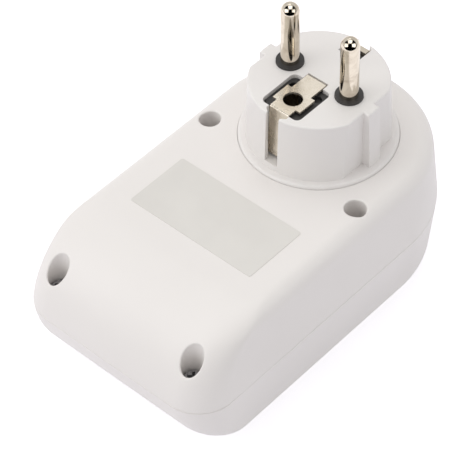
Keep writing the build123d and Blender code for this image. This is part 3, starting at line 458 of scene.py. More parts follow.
@dataclass(frozen=True)
class Clear:
    """Clear moulded plastic or glass."""

    name: str
    colour: Colour
    roughness: tuple[float, float] = (0.04, 0.08)
    index: float = 1.49

    def material(self) -> bpy.types.Material:
        """Builds the material.

        Returns:
            The finished material.
        """
        surface = Surface(self.name)
        grain = surface.effect(EFFECTS.grain, Grain=500.0, Cloud=60.0)
        surface.drive("Base Color", self.colour)
        surface.drive("Roughness", surface.between(grain["Cloud"], *self.roughness))
        surface.drive("IOR", self.index)
        surface.drive("Transmission Weight", 1.0)
        return surface.material


@dataclass(frozen=True)
class Laminate:
    """Circuit board: woven glass under coloured mask, with lighter tracks running across it."""

    name: str
    mask: Colour
    track: Colour
    shade: float = 0.8
    roughness: tuple[float, float] = (0.28, 0.4)
    track_relief_mm: float = 0.03

    def material(self) -> bpy.types.Material:
        """Builds the material.

        Returns:
            The finished material.
        """
        surface = Surface(self.name)
        grain = surface.effect(EFFECTS.grain, Grain=3000.0, Cloud=120.0)
        tracks = surface.layout.add("ShaderNodeTexBrick", {
            "Vector": surface.place, "Scale": 260.0, "Mortar Size": 0.06, "Mortar Smooth": 0.1,
            "Color1": (0, 0, 0, 1), "Color2": (0, 0, 0, 1), "Mortar": (1, 1, 1, 1)})
        mottled = surface.mix(grain["Cloud"], self.mask, tuple(self.shade * part for part in self.mask))
        surface.drive("Base Color", surface.mix(tracks.outputs["Color"], mottled, self.track))
        surface.drive("Roughness", surface.between(grain["Cloud"], *self.roughness))
        surface.relief(tracks.outputs["Color"], self.track_relief_mm)
        return surface.material


@dataclass(frozen=True)
class Winding:
    """Enamelled wire wound round the coil: close turns across the axis, with painted shade in the
    hollows between the turns.
    """

    name: str
    colour: Colour
    # painted shade: the darker copper of the hollows between turns
    tint: Colour
    metallic: float = 0.8
    roughness: tuple[float, float] = (0.45, 0.28)
    wire_relief_mm: float = 0.05

    def material(self) -> bpy.types.Material:
        """Builds the material.

        Returns:
            The finished material.
        """
        surface = Surface(self.name)
        turns = surface.layout.add("ShaderNodeTexWave", {
            "Vector": surface.place, "Scale": 900.0, "Distortion": 0.6, "Detail": 1.0},
            bands_direction="Z")
        # painted shade: the darker tint goes where the relief is lowest, between the turns
        surface.drive("Base Color", surface.mix(turns.outputs["Fac"], self.tint, self.colour))
        surface.drive("Metallic", self.metallic)
        surface.drive("Roughness", surface.between(turns.outputs["Fac"], *self.roughness))
        surface.relief(turns.outputs["Fac"], self.wire_relief_mm)
        return surface.material


MADE: dict[Enum, bpy.types.Material] = {}


class Look(Enum):
    """Every finish of the timer."""

    SHELL = Moulding("white_shell", srgb(237, 233, 230), srgb(235, 231, 228))
    PLUG_SHELL = Moulding("white_plug", srgb(236, 233, 230), srgb(234, 230, 228), (0.38, 0.46))
    CARRIER = Moulding("charcoal_carrier", srgb(58, 56, 55), srgb(50, 49, 49), (0.42, 0.56))
    KEY = Moulding("grey_key", srgb(150, 154, 160), srgb(142, 147, 153), (0.4, 0.5))
    FRAME = Moulding("smoke_frame", srgb(44, 45, 47), srgb(38, 39, 41), (0.45, 0.6))
    EPOXY = Moulding("black_epoxy", srgb(40, 40, 42), srgb(34, 34, 36), (0.5, 0.62),
                     grain_depth_mm=0.01)
    RELAY_CASE = Moulding("relay_blue", srgb(38, 84, 150), srgb(34, 76, 138), (0.22, 0.3))
    BOBBIN = Moulding("bobbin_nylon", srgb(214, 208, 192), srgb(204, 198, 182), (0.35, 0.45))
    FILM_BOX = Moulding("capacitor_yellow", srgb(216, 178, 62), srgb(206, 168, 56), (0.25, 0.34))
    DIPPED = Moulding("epoxy_blue", srgb(52, 104, 168), srgb(46, 94, 152), (0.3, 0.45),
                      grain_depth_mm=0.02)
    RUBBER = Moulding("silicone", srgb(140, 143, 148), srgb(132, 135, 141), (0.6, 0.72), specular=0.3)
    GLASS = Moulding("display_glass", srgb(156, 166, 148), srgb(150, 161, 143), (0.1, 0.16),
                     grain_depth_mm=0.0)
    SEGMENT = Moulding("display_segment", srgb(74, 80, 74), srgb(68, 74, 68), (0.2, 0.3),
                       grain_depth_mm=0.0)
    LABEL = Film("label_film", srgb(223, 220, 215), srgb(219, 216, 211))
    PIN = Plating("nickel_pin", srgb(222, 212, 196), srgb(198, 186, 169), (0.08, 0.18), lines=1500.0,
                  stretch=0.04, smudge=260.0)
    STRAP = Plating("nickel_strap", srgb(232, 223, 208), srgb(216, 206, 189), (0.2, 0.34), lines=1600.0,
                    stretch=0.08, smudge=260.0, depth_mm=0.001, metallic=0.78)
    NICKEL = Plating("nickel", srgb(222, 212, 196), srgb(206, 194, 176))
    BRASS = Plating("spring_brass", srgb(214, 182, 118), srgb(190, 158, 100), (0.2, 0.38))
    ZINC = Plating("zinc_steel", srgb(176, 176, 178), srgb(150, 150, 154), (0.25, 0.42))
    TINNED = Plating("tinned_lead", srgb(196, 197, 199), srgb(172, 173, 176), (0.2, 0.34))
    IRON = Plating("soft_iron", srgb(150, 150, 152), srgb(128, 128, 131), (0.35, 0.5))
    CAN = Plating("aluminium_can", srgb(196, 198, 202), srgb(178, 181, 186), (0.25, 0.4))
    WINDOW = Clear("clear_window", (0.97, 0.985, 0.98))
    BOARD = Laminate("board_green", srgb(38, 96, 62), srgb(70, 138, 92))
    # the winding's darker second colour is painted shade for the hollows between turns
    WINDING = Winding("copper_winding", srgb(196, 112, 66), srgb(136, 70, 40))

    def material(self) -> bpy.types.Material:
        """The finish's material, built the first time that it is asked for."""
        if self not in MADE:
            MADE[self] = self.value.material()
        return MADE[self]


# ---------------------------------------------------------------- pieces
def body_of(node: str) -> str:
    """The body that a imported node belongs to."""
    return next(body for body, nodes in frame["record"]["behaviour"]["bodies"].items() if node in nodes)


def add_piece(name: str, mesh: bpy.types.Mesh, look: Look, node: str,
              stands_in: bool = True) -> bpy.types.Object:
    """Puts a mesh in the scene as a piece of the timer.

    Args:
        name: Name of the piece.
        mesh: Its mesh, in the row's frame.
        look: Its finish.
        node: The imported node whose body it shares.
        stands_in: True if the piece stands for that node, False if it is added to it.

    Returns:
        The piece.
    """
    piece = linked(name, mesh)
    mesh.materials.clear()
    mesh.materials.append(look.material())
    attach(piece, body_of(node))
    if stands_in:
        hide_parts(node)
    LOG.info("piece %s %s %s, finish %s", name, "stands for" if stands_in else "is added to", node,
             look.value.name)
    return piece


def smooth_copy(node: str, look: Look, crease_deg: float = 24.0) -> bpy.types.Object:
    """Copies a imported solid, joins its triangles and shades it smooth up to its creases.

    Args:
        node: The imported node.
        look: Its finish.
        crease_deg: Edges sharper than this stay crisp.

    Returns:
        The piece that stands for the node.
    """
    work = bmesh.new()
    work.from_mesh(frame["nodes"][node].data)
    bmesh.ops.remove_doubles(work, verts=work.verts, dist=1e-6)
    for face in work.faces:
        face.smooth = True
    for edge in work.edges:
        edge.smooth = edge.is_manifold and edge.calc_face_angle(0.0) < math.radians(crease_deg)
    mesh = bpy.data.meshes.new(node + "_form")
    work.to_mesh(mesh)
    work.free()
    draft = linked(node + "_draft", mesh)
    weigh = draft.modifiers.new("weigh", "WEIGHTED_NORMAL")
    weigh.keep_sharp = True
    weigh.weight = 80
    shaded = evaluated_mesh(draft)
    bpy.data.objects.remove(draft)
    return add_piece(node + "_dressed", shaded, look, node)


def dress(node: str, look: Look) -> None:
    """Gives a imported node, as it stands, a finish.

    Args:
        node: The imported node.
        look: The finish.
    """
    mesh = frame["nodes"][node].data
    mesh.materials.clear()
    mesh.materials.append(look.material())
    LOG.info("node %s, finish %s", node, look.value.name)


class Recipe:
    """A geometry node tree with named sizes in metres, which ends in plain mesh with one finish."""

    def __init__(self, name: str, look: Look, sizes: Mapping[str, float | int]) -> None:
        """Opens the tree.

        Args:
            name: Name of the tree.
            look: Finish of what it makes.
            sizes: Default of each named input; a whole number makes a whole-number input.
        """
        self.name, self.look = name, look
        self.tree = bpy.data.node_groups.new(name, "GeometryNodeTree")
        interface = self.tree.interface
        interface.new_socket(name="Geometry", in_out="INPUT", socket_type="NodeSocketGeometry")
        self.keys: dict[str, str] = {}
        for label, value in sizes.items():
            kind = "NodeSocketInt" if isinstance(value, int) else "NodeSocketFloat"
            socket = interface.new_socket(name=label, in_out="INPUT", socket_type=kind)
            socket.default_value = value
            self.keys[label] = socket.identifier
        interface.new_socket(name="Geometry", in_out="OUTPUT", socket_type="NodeSocketGeometry")
        self.layout = NodeLayout(self.tree)
        self.given = self.layout.add("NodeGroupInput").outputs

    def tube(self, radius: object, length: object, low: object, sides: int = 24) -> bpy.types.NodeSocket:
        """A round bar that stands on a level.

        Args:
            radius: Its radius.
            length: Its length.
            low: Level of its foot.
            sides: How many sides it has.

        Returns:
            The bar.
        """
        bar = self.layout.add("GeometryNodeMeshCone", {
            "Vertices": sides, "Radius Top": radius, "Radius Bottom": radius, "Depth": length})
        return self.move(bar.outputs["Mesh"], low)

    def move(self, geometry: bpy.types.NodeSocket, up: object = 0.0, x: object = 0.0, y: object = 0.0,
             turn: object = 0.0) -> bpy.types.NodeSocket:
        """Turns a form about Z and then moves it.

        Args:
            geometry: The form.
            up: How far it goes up.
            x: How far it goes along X.
            y: How far it goes along Y.
            turn: Its turn about Z, in radians.

        Returns:
            The moved form.
        """
        place = self.layout.add("ShaderNodeCombineXYZ", {"X": x, "Y": y, "Z": up}).outputs[0]
        swing = self.layout.add("ShaderNodeCombineXYZ", {"Z": turn}).outputs[0]
        return self.layout.add("GeometryNodeTransform", {
            "Geometry": geometry, "Translation": place, "Rotation": swing}).outputs[0]

    def bar(self, x: object, y: object, z: object) -> bpy.types.NodeSocket:
        """A square bar about the origin, from its three lengths."""
        size = self.layout.add("ShaderNodeCombineXYZ", {"X": x, "Y": y, "Z": z}).outputs[0]
        return self.layout.add("GeometryNodeMeshCube", {"Size": size}).outputs["Mesh"]

    def join(self, forms: Sequence[bpy.types.NodeSocket]) -> bpy.types.NodeSocket:
        """Several forms as one."""
        return self.layout.add("GeometryNodeJoinGeometry", {"Geometry": list(forms)}).outputs[0]

    def coil(self, radius: object, turns: object, height: object, wire: object,
             sides: int = 5, steps: int = 28) -> bpy.types.NodeSocket:
        """A helix of round wire that climbs from the origin.

        Args:
            radius: Radius to the middle of the wire.
            turns: How many turns it has.
            height: How far it climbs.
            wire: Radius of the wire.
            sides: Sides of the wire's section.
            steps: Steps in a turn.

        Returns:
            The helix.
        """
        path = self.layout.add("GeometryNodeCurveSpiral", {
            "Resolution": steps, "Rotations": turns, "Start Radius": radius, "End Radius": radius,
            "Height": height})
        section = self.layout.add("GeometryNodeCurvePrimitiveCircle", {
            "Resolution": sides, "Radius": wire})
        return self.layout.add("GeometryNodeCurveToMesh", {
            "Curve": path.outputs[0], "Profile Curve": section.outputs[0], "Fill Caps": True}).outputs[0]

    def at_points(self, form: bpy.types.NodeSocket, seed: int | None = None) -> bpy.types.NodeSocket:
        """The form at every point of the base, turned by chance about Z where a seed is given.

        Args:
            form: What is placed.
            seed: Fixed seed of the turns.

        Returns:
            The instances.
        """
        inputs: dict[str | int, object] = {"Points": self.given["Geometry"], "Instance": form}
        if seed is not None:
            chance = self.layout.add("FunctionNodeRandomValue", {2: 0.0, 3: math.tau, 8: seed},
                                     data_type="FLOAT")
            turn = self.layout.add("ShaderNodeCombineXYZ", {"Z": chance.outputs[1]})
            inputs["Rotation"] = turn.outputs[0]
        return self.layout.add("GeometryNodeInstanceOnPoints", inputs).outputs[0]

    def finish(self, geometry: bpy.types.NodeSocket) -> "Recipe":
        """Makes the instances real, sets the finish and ends the tree.

        Args:
            geometry: All that the tree has made.

        Returns:
            The recipe itself.
        """
        real = self.layout.add("GeometryNodeRealizeInstances", {"Geometry": geometry}).outputs[0]
        dressed = self.layout.add("GeometryNodeSetMaterial", {
            "Geometry": real, "Material": self.look.material()}).outputs[0]
        self.layout.add("NodeGroupOutput", {"Geometry": dressed})
        return self

    def bake(self, name: str, points: Sequence[Sequence[float]], crease_deg: float = 30.0,
             **sizes: float) -> bpy.types.Mesh:
        """Runs the tree on a set of points.

        Args:
            name: Name of the mesh.
            points: Base points in millimetres.
            crease_deg: Edges sharper than this stay crisp.
            sizes: Values for named inputs, with _ for a space.

        Returns:
            The mesh.
        """
        base = bpy.data.meshes.new(name + "_points")
        base.from_pydata([tuple(value * MM for value in point) for point in points], [], [])
        draft = linked(name + "_draft", base)
        modifier = draft.modifiers.new(self.name, "NODES")
        modifier.node_group = self.tree
        for label, value in sizes.items():
            modifier[self.keys[label.replace("_", " ")]] = value
        mesh = evaluated_mesh(draft)
        draft.modifiers.remove(modifier)
        bpy.data.objects.remove(draft)
        mesh.shade_smooth()
        mesh.set_sharp_from_angle(angle=math.radians(crease_deg))
        return mesh


DOME_POWER, DOME_DROP = 4.0, 0.26
CORE_SHARE, TIP_SHARE, POINT_SHARE = 0.74, 1.6, 0.15


def screw_recipe(name: str, head: tuple[float, float], shank: tuple[float, float], pitch: float,
                 cross: tuple[float, float, float], seed: int) -> Recipe:
    """A domed self-tapping screw with a cross recess and a real thread, seat at the point, head up.

    Args:
        name: Name of the tree.
        head: Radius and height of the head, mm.
        shank: Radius over the thread and length of the shank, mm.
        pitch: Climb of the thread in one turn, mm.
        cross: Length, width and depth of the recess, mm.
        seed: Seed of the turn that each screw was left at.

    Returns:
        The recipe.
    """
    recipe = Recipe(name, Look.ZINC, {
        "Head Radius": head[0] * MM, "Head Height": head[1] * MM, "Thread Radius": shank[0] * MM,
        "Length": shank[1] * MM, "Pitch": pitch * MM, "Recess": cross[0] * MM,
        "Recess Width": cross[1] * MM, "Recess Depth": cross[2] * MM, "Upside Down": 0.0})
    layout, given, sums = recipe.layout, recipe.given, recipe.layout.sum_of
    blank = layout.add("GeometryNodeMeshCone", {
        "Vertices": 40, "Side Segments": 8, "Radius Top": given["Head Radius"],
        "Radius Bottom": given["Head Radius"], "Depth": given["Head Height"]}).outputs["Mesh"]
    spot = layout.add("GeometryNodeInputPosition").outputs[0]
    apart = layout.add("ShaderNodeSeparateXYZ", {"Vector": spot}).outputs
    climb = sums(sums(apart["Z"], given["Head Height"], "DIVIDE"), DOME_POWER, "POWER")
    narrow = sums(1.0, sums(climb, DOME_DROP, "MULTIPLY"), "SUBTRACT")
    domed = layout.add("ShaderNodeCombineXYZ", {
        "X": sums(apart["X"], narrow, "MULTIPLY"), "Y": sums(apart["Y"], narrow, "MULTIPLY"),
        "Z": apart["Z"]}).outputs[0]
    dome = layout.add("GeometryNodeSetPosition", {"Geometry": blank, "Position": domed}).outputs[0]
    arms = []
    for wide, deep in (("Recess", "Recess Width"), ("Recess Width", "Recess")):
        arm = recipe.bar(given[wide], given[deep], sums(given["Recess Depth"], 2.0, "MULTIPLY"))
        arms.append(recipe.move(arm, given["Head Height"]))
    cut = layout.add("GeometryNodeMeshBoolean", {"Mesh 1": dome, "Mesh 2": arms}, operation="DIFFERENCE",
                     solver="EXACT").outputs["Mesh"]
    core = sums(given["Thread Radius"], CORE_SHARE, "MULTIPLY")
    tip = sums(given["Thread Radius"], TIP_SHARE, "MULTIPLY")
    barrel = sums(given["Length"], tip, "SUBTRACT")
    down = sums(given["Length"], -1.0, "MULTIPLY")
    tip_up = sums(down, tip)
    stem = recipe.tube(core, barrel, tip_up, 20)
    point = layout.add("GeometryNodeMeshCone", {
        "Vertices": 20, "Radius Top": core, "Radius Bottom": sums(core, POINT_SHARE, "MULTIPLY"),
        "Depth": tip}).outputs["Mesh"]
    climb_height = sums(barrel, given["Pitch"], "SUBTRACT")
    thread = recipe.coil(core, sums(climb_height, given["Pitch"], "DIVIDE"), climb_height,
                         sums(given["Thread Radius"], core, "SUBTRACT"), 3, 18)
    whole = recipe.join([cut, stem, recipe.move(point, down), recipe.move(thread, tip_up)])
    flip = layout.add("ShaderNodeCombineXYZ", {
        "X": sums(given["Upside Down"], math.pi, "MULTIPLY")}).outputs[0]
    posed = recipe.at_points(whole, seed)
    turned = layout.add("GeometryNodeRotateInstances", {"Instances": posed, "Rotation": flip}).outputs[0]
    return recipe.finish(turned)


@dataclass
class SubAssembly:
    """A part of the timer that is put together by itself."""

    smooth: ClassVar[Mapping[str, Look]] = {}
    plain: ClassVar[Mapping[str, Look]] = {}

    def build(self) -> None:
        """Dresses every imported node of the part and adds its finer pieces."""
        for node, look in self.smooth.items():
            smooth_copy(node, look)
        for node, look in self.plain.items():
            dress(node, look)
        self.fine_pieces()

    def fine_pieces(self) -> None:
        """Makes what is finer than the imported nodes; a part without such pieces adds none."""


@dataclass
class Housing(SubAssembly):
    """The two covers, the bare label and the four long screws. Sizes in millimetres."""

    screw_points: Points = ((-23.9, 9.7), (23.9, 9.7), (-22.0, -47.4), (22.0, -47.4))
    well_seat_z: float = 24.3
    head: tuple[float, float] = (2.6, 2.0)
    shank: tuple[float, float] = (1.45, 12.0)
    thread_pitch: float = 1.3
    recess: tuple[float, float, float] = (2.9, 0.7, 1.0)
    turn_seed: int = 7
    smooth: ClassVar[Mapping[str, Look]] = {
        "back_cover": Look.SHELL, "front_cover": Look.SHELL, "label_plate": Look.LABEL}

    def fine_pieces(self) -> None:
        """Makes the screws at the bottom of the wells."""
        recipe = screw_recipe("housing_screw", self.head, self.shank, self.thread_pitch, self.recess,
                              self.turn_seed)
        points = [(x, y, self.well_seat_z) for x, y in self.screw_points]
        mesh = recipe.bake("housing_screws", points)
        add_piece("housing_screws_cut", mesh, Look.ZINC, "housing_screws")


@dataclass
class PlugHead(SubAssembly):
    """The round plug with its pins, its carrier and its earth contacts."""

    smooth: ClassVar[Mapping[str, Look]] = {
        "plug_base": Look.PLUG_SHELL, "pin_carrier": Look.CARRIER, "pin_live": Look.PIN,
        "pin_neutral": Look.PIN, "plug_earth_front": Look.STRAP, "plug_earth_rear": Look.NICKEL,
        "earth_pin_sleeve": Look.NICKEL}


@dataclass
class SocketInsert(SubAssembly):
    """The socket of the front: its cup, the shutter, the contacts and the links behind them."""

    smooth: ClassVar[Mapping[str, Look]] = {
        "socket_cup": Look.PLUG_SHELL, "socket_shutter": Look.KEY, "contact_live": Look.BRASS,
        "contact_neutral": Look.BRASS, "socket_earth_strap": Look.NICKEL}
    plain: ClassVar[Mapping[str, Look]] = {
        "shutter_spring": Look.ZINC, "contact_carrier": Look.CARRIER, "earth_link": Look.BRASS,
        "live_link": Look.BRASS, "neutral_link": Look.BRASS, "switched_link": Look.BRASS}


@dataclass
class ControlPanel(SubAssembly):
    """Keys, window, display and the board behind them. Sizes in millimetres."""

    board_back_z: float = 11.8
    chip_point: tuple[float, float] = (0.0, -24.5)
    chip_size: float = 9.0
    legs_a_side: int = 10
    leg_pitch: float = 0.65
    leg_share: float = 0.45
    leg_thick: float = 0.14
    leg_runs: tuple[Run, ...] = (
        ((0.7, None), (0.85, 0.08)), ((None, 0.7), (0.5, 0.4)), ((0.6, None), (0.25, 0.75)))
    display_y: float = -24.4
    display_front_z: float = 3.3
    digit_x: tuple[float, ...] = (-12.3, -5.3, 5.3, 12.3)
    digit_size: tuple[float, float] = (4.6, 7.6)
    stroke: tuple[float, float] = (0.7, 0.04)
    end_gaps: tuple[float, float] = (2.3, 0.9)
    mat_box: tuple[float, float, float, float] = (-20.6, 20.6, -14.2, 0.4)
    mat_z: tuple[float, float, float] = (8.0, 9.2, 10.2)
    dome: tuple[float, float] = (1.5, 2.6)
    dome_keep: Mapping[str, float] = field(default_factory=lambda: {"key_reset": 0.24})
    usual_keep: float = 0.4
    keys: ClassVar[tuple[str, ...]] = ("key_clock", "key_timer", "key_week", "key_mode", "key_hour",
                                       "key_minute", "key_random", "key_reset")
    smooth: ClassVar[Mapping[str, Look]] = {
        **dict.fromkeys(keys, Look.KEY), "display_window": Look.WINDOW}
    plain: ClassVar[Mapping[str, Look]] = {
        "lcd_panel": Look.GLASS, "display_frame": Look.FRAME,
        "zebra_strips": Look.RUBBER, "display_board": Look.BOARD, "controller_chip": Look.EPOXY,
        "crystal": Look.ZINC}

    def fine_pieces(self) -> None:
        """Makes the chip's legs, the display's blank digits and the rubber mat."""
        self._legs()
        self._digits()
        self._mat()

    def _mat(self) -> None:
        """Makes the rubber mat, with a dome under each key."""
        left, right, low_y, high_y = self.mat_box
        dome_top, face, back = self.mat_z
        sheet = Recipe("mat_sheet", Look.RUBBER, {
            "Length": (right - left) * MM, "Width": (high_y - low_y) * MM, "Thick": (back - face) * MM})
        given = sheet.given
        sheet.finish(sheet.at_points(sheet.bar(given["Length"], given["Width"], given["Thick"])))
        middle = ((left + right) / 2, (low_y + high_y) / 2, (face + back) / 2)
        add_piece("key_mat_sheet", sheet.bake("key_mat_sheet", [middle]), Look.RUBBER, "key_mat")
        recipe = Recipe("rubber_dome", Look.RUBBER, {
            "Top Radius": self.dome[0] * MM, "Foot Radius": self.dome[1] * MM,
            "Height": (face - dome_top) * MM})
        given = recipe.given
        dome = recipe.layout.add("GeometryNodeMeshCone", {
            "Vertices": 32, "Side Segments": 6, "Radius Bottom": given["Top Radius"],
            "Radius Top": given["Foot Radius"], "Depth": given["Height"]}).outputs["Mesh"]
        recipe.finish(recipe.at_points(dome))
        for key in self.keys:
            low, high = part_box(key)
            x, y = (low[0] + high[0]) / 2, (low[1] + high[1]) / 2
            name = key.replace("key_", "key_dome_")
            mesh = recipe.bake(name, [(x / MM, y / MM, dome_top)])
            piece = add_piece(name, mesh, Look.RUBBER, "key_mat", stands_in=False)
            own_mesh(piece)

    def _legs(self) -> None:
        """Adds bent legs along the four sides of the chip."""
        recipe = Recipe("chip_legs", Look.TINNED, {
            "Count": self.legs_a_side, "Pitch": self.leg_pitch * MM, "Reach": self.chip_size / 2 * MM,
            "Thick": self.leg_thick * MM})
        given, sums = recipe.given, recipe.layout.sum_of
        width = sums(given["Pitch"], self.leg_share, "MULTIPLY")
        runs = []  # foot, riser and shoulder; None is the leg's own thickness
        for (long, tall), (out, up) in self.leg_runs:
            sizes = [given["Thick"] if size is None else size * MM for size in (long, tall)]
            runs.append(recipe.move(recipe.bar(sizes[0], width, sizes[1]), up * MM, x=out * MM))
        step = recipe.layout.add("ShaderNodeCombineXYZ", {"Y": given["Pitch"]}).outputs[0]
        half = sums(sums(given["Count"], 1.0, "SUBTRACT"), sums(given["Pitch"], -0.5, "MULTIPLY"),
                    "MULTIPLY")
        start = recipe.layout.add("ShaderNodeCombineXYZ", {"X": given["Reach"], "Y": half}).outputs[0]
        row = recipe.layout.add("GeometryNodeMeshLine", {
            "Count": given["Count"], "Start Location": start, "Offset": step}).outputs[0]
        side = recipe.layout.add("GeometryNodeInstanceOnPoints", {
            "Points": row, "Instance": recipe.join(runs)}).outputs[0]
        ring = recipe.join([recipe.move(side, turn=quarter * math.pi / 2) for quarter in range(4)])
        recipe.finish(recipe.at_points(ring))
        mesh = recipe.bake("chip_legs", [(*self.chip_point, self.board_back_z)])
        add_piece("controller_chip_legs", mesh, Look.TINNED, "controller_chip", stands_in=False)

    def _digits(self) -> None:
        """Adds four seven-segment digits, every segment alike, on the glass."""
        recipe = Recipe("blank_digits", Look.SEGMENT, {
            "Width": self.digit_size[0] * MM, "Height": self.digit_size[1] * MM,
            "Stroke": self.stroke[0] * MM, "Thick": self.stroke[1] * MM})
        given, sums = recipe.given, recipe.layout.sum_of
        half_y = sums(given["Height"], 0.25, "MULTIPLY")
        side_x = sums(sums(given["Width"], given["Stroke"], "SUBTRACT"), 0.5, "MULTIPLY")
        level = sums(sums(given["Height"], given["Stroke"], "SUBTRACT"), 0.5, "MULTIPLY")
        lying = sums(given["Width"], sums(given["Stroke"], self.end_gaps[0], "MULTIPLY"), "SUBTRACT")
        standing = sums(sums(given["Height"], 0.5, "MULTIPLY"),
                        sums(given["Stroke"], self.end_gaps[1], "MULTIPLY"), "SUBTRACT")
        forms = []
        for step in (-1.0, 0.0, 1.0):
            bar = recipe.bar(lying, given["Stroke"], given["Thick"])
            forms.append(recipe.move(bar, y=sums(level, step, "MULTIPLY")))
        for side in (-1.0, 1.0):
            for end in (-1.0, 1.0):
                bar = recipe.bar(given["Stroke"], standing, given["Thick"])
                forms.append(recipe.move(bar, x=sums(side_x, side, "MULTIPLY"),
                                         y=sums(half_y, end, "MULTIPLY")))
        recipe.finish(recipe.at_points(recipe.join(forms)))
        z = self.display_front_z - 0.02
        mesh = recipe.bake("blank_digits", [(x, self.display_y, z) for x in self.digit_x])
        add_piece("lcd_digits", mesh, Look.SEGMENT, "lcd_panel", stands_in=False)


@dataclass
class PowerSupply(SubAssembly):
    """The power board and what hangs from it. Sizes in millimetres."""

    board_front_z: float = 30.0
    board_back_z: float = 11.8
    coil_axis: tuple[float, float] = (-7.0, -14.8)
    coil_z: tuple[float, float] = (19.9, 26.3)
    coil_radius: float = 4.65
    wire_radius: float = 0.13
    coil_turns: int = 24
    header_y: float = -32.8
    header_first_x: float = 1.8
    header_pitch: float = 2.54
    header_pins: int = 6
    header_height: float = 2.5
    header_pin: float = 0.64
    display_posts: Points = ((-23.2, -30.0), (23.2, -30.0), (-23.2, -1.4), (23.2, -1.4))
    power_posts: Points = ((-20.8, -37.1), (20.8, -37.1), (-20.8, -3.2), (20.8, -3.2))
    screw_head: tuple[float, float] = (1.75, 1.3)
    screw_shank: tuple[float, float] = (0.9, 5.6)
    screw_pitch: float = 0.8
    screw_recess: tuple[float, float, float] = (1.9, 0.45, 0.6)
    turn_seed: int = 11
    smooth: ClassVar[Mapping[str, Look]] = {
        "relay_coil": Look.BOBBIN, "smoothing_capacitor": Look.CAN, "backup_battery": Look.ZINC,
        "varistor": Look.DIPPED, "fuse_resistor": Look.DIPPED}
    plain: ClassVar[Mapping[str, Look]] = {
        "power_board": Look.BOARD, "relay_cover": Look.RELAY_CASE, "relay_base": Look.RELAY_CASE,
        "relay_yoke": Look.IRON, "relay_armature": Look.IRON, "relay_contact": Look.BRASS,
        "dropper_capacitor": Look.FILM_BOX}

    def fine_pieces(self) -> None:
        """Makes the winding, the header and the screws of both boards."""
        self._winding()
        self._header()
        self._screws()

    def _winding(self) -> None:
        """Winds the coil with wire."""
        low, high = self.coil_z
        recipe = Recipe("coil_winding", Look.WINDING, {
            "Radius": self.coil_radius * MM, "Turns": float(self.coil_turns),
            "Height": (high - low) * MM, "Wire Radius": self.wire_radius * MM})
        given = recipe.given
        wound = recipe.coil(given["Radius"], given["Turns"], given["Height"], given["Wire Radius"])
        recipe.finish(recipe.at_points(wound))
        mesh = recipe.bake("coil_winding", [(*self.coil_axis, low)], crease_deg=60.0)
        add_piece("relay_coil_winding", mesh, Look.WINDING, "relay_coil", stands_in=False)

    def _header(self) -> None:
        """Makes the pin header: a moulded bar for each pin and the pin through it."""
        points = [(self.header_first_x + index * self.header_pitch, self.header_y, self.board_back_z)
                  for index in range(self.header_pins)]
        for name, look in (("moulding", Look.EPOXY), ("pins", Look.TINNED)):
            recipe = Recipe("header_" + name, look, {
                "Pitch": self.header_pitch * MM, "Height": self.header_height * MM,
                "Pin": self.header_pin * MM,
                "Reach": (self.board_front_z - self.board_back_z) * MM})
            given, sums = recipe.given, recipe.layout.sum_of
            if look is Look.TINNED:
                pin = recipe.bar(given["Pin"], given["Pin"], given["Reach"])
                form = recipe.move(pin, sums(given["Reach"], 0.5, "MULTIPLY"))
            else:
                block = recipe.layout.add("GeometryNodeMeshCone", {
                    "Vertices": 8, "Radius Top": sums(given["Pitch"], 0.53, "MULTIPLY"),
                    "Radius Bottom": sums(given["Pitch"], 0.53, "MULTIPLY"),
                    "Depth": given["Height"]}).outputs["Mesh"]
                form = recipe.move(block, turn=math.pi / 8)
            recipe.finish(recipe.at_points(form))
            add_piece("board_link_" + name, recipe.bake("header_" + name, points), look, "board_link",
                      stands_in=look is Look.EPOXY)

    def _screws(self) -> None:
        """Makes the small screws: head up on the display board, head down on the power board."""
        recipe = screw_recipe("board_screw", self.screw_head, self.screw_shank, self.screw_pitch,
                              self.screw_recess, self.turn_seed)
        for name, posts, seat, flip in (("display_board", self.display_posts, self.board_back_z, 0.0),
                                        ("power_board", self.power_posts, self.board_front_z, 1.0)):
            mesh = recipe.bake(name + "_screws", [(x, y, seat) for x, y in posts], Upside_Down=flip)
            add_piece(name + "_screws_cut", mesh, Look.ZINC, "board_screws", stands_in=flip == 0.0)


# ---------------------------------------------------------------- studio
@dataclass(frozen=True)
class Lamp:
    """A square soft lamp aimed at the timer."""

    name: str
    place: tuple[float, float, float]
    size: float
    power: float
    colour: Colour = (1.0, 1.0, 1.0)


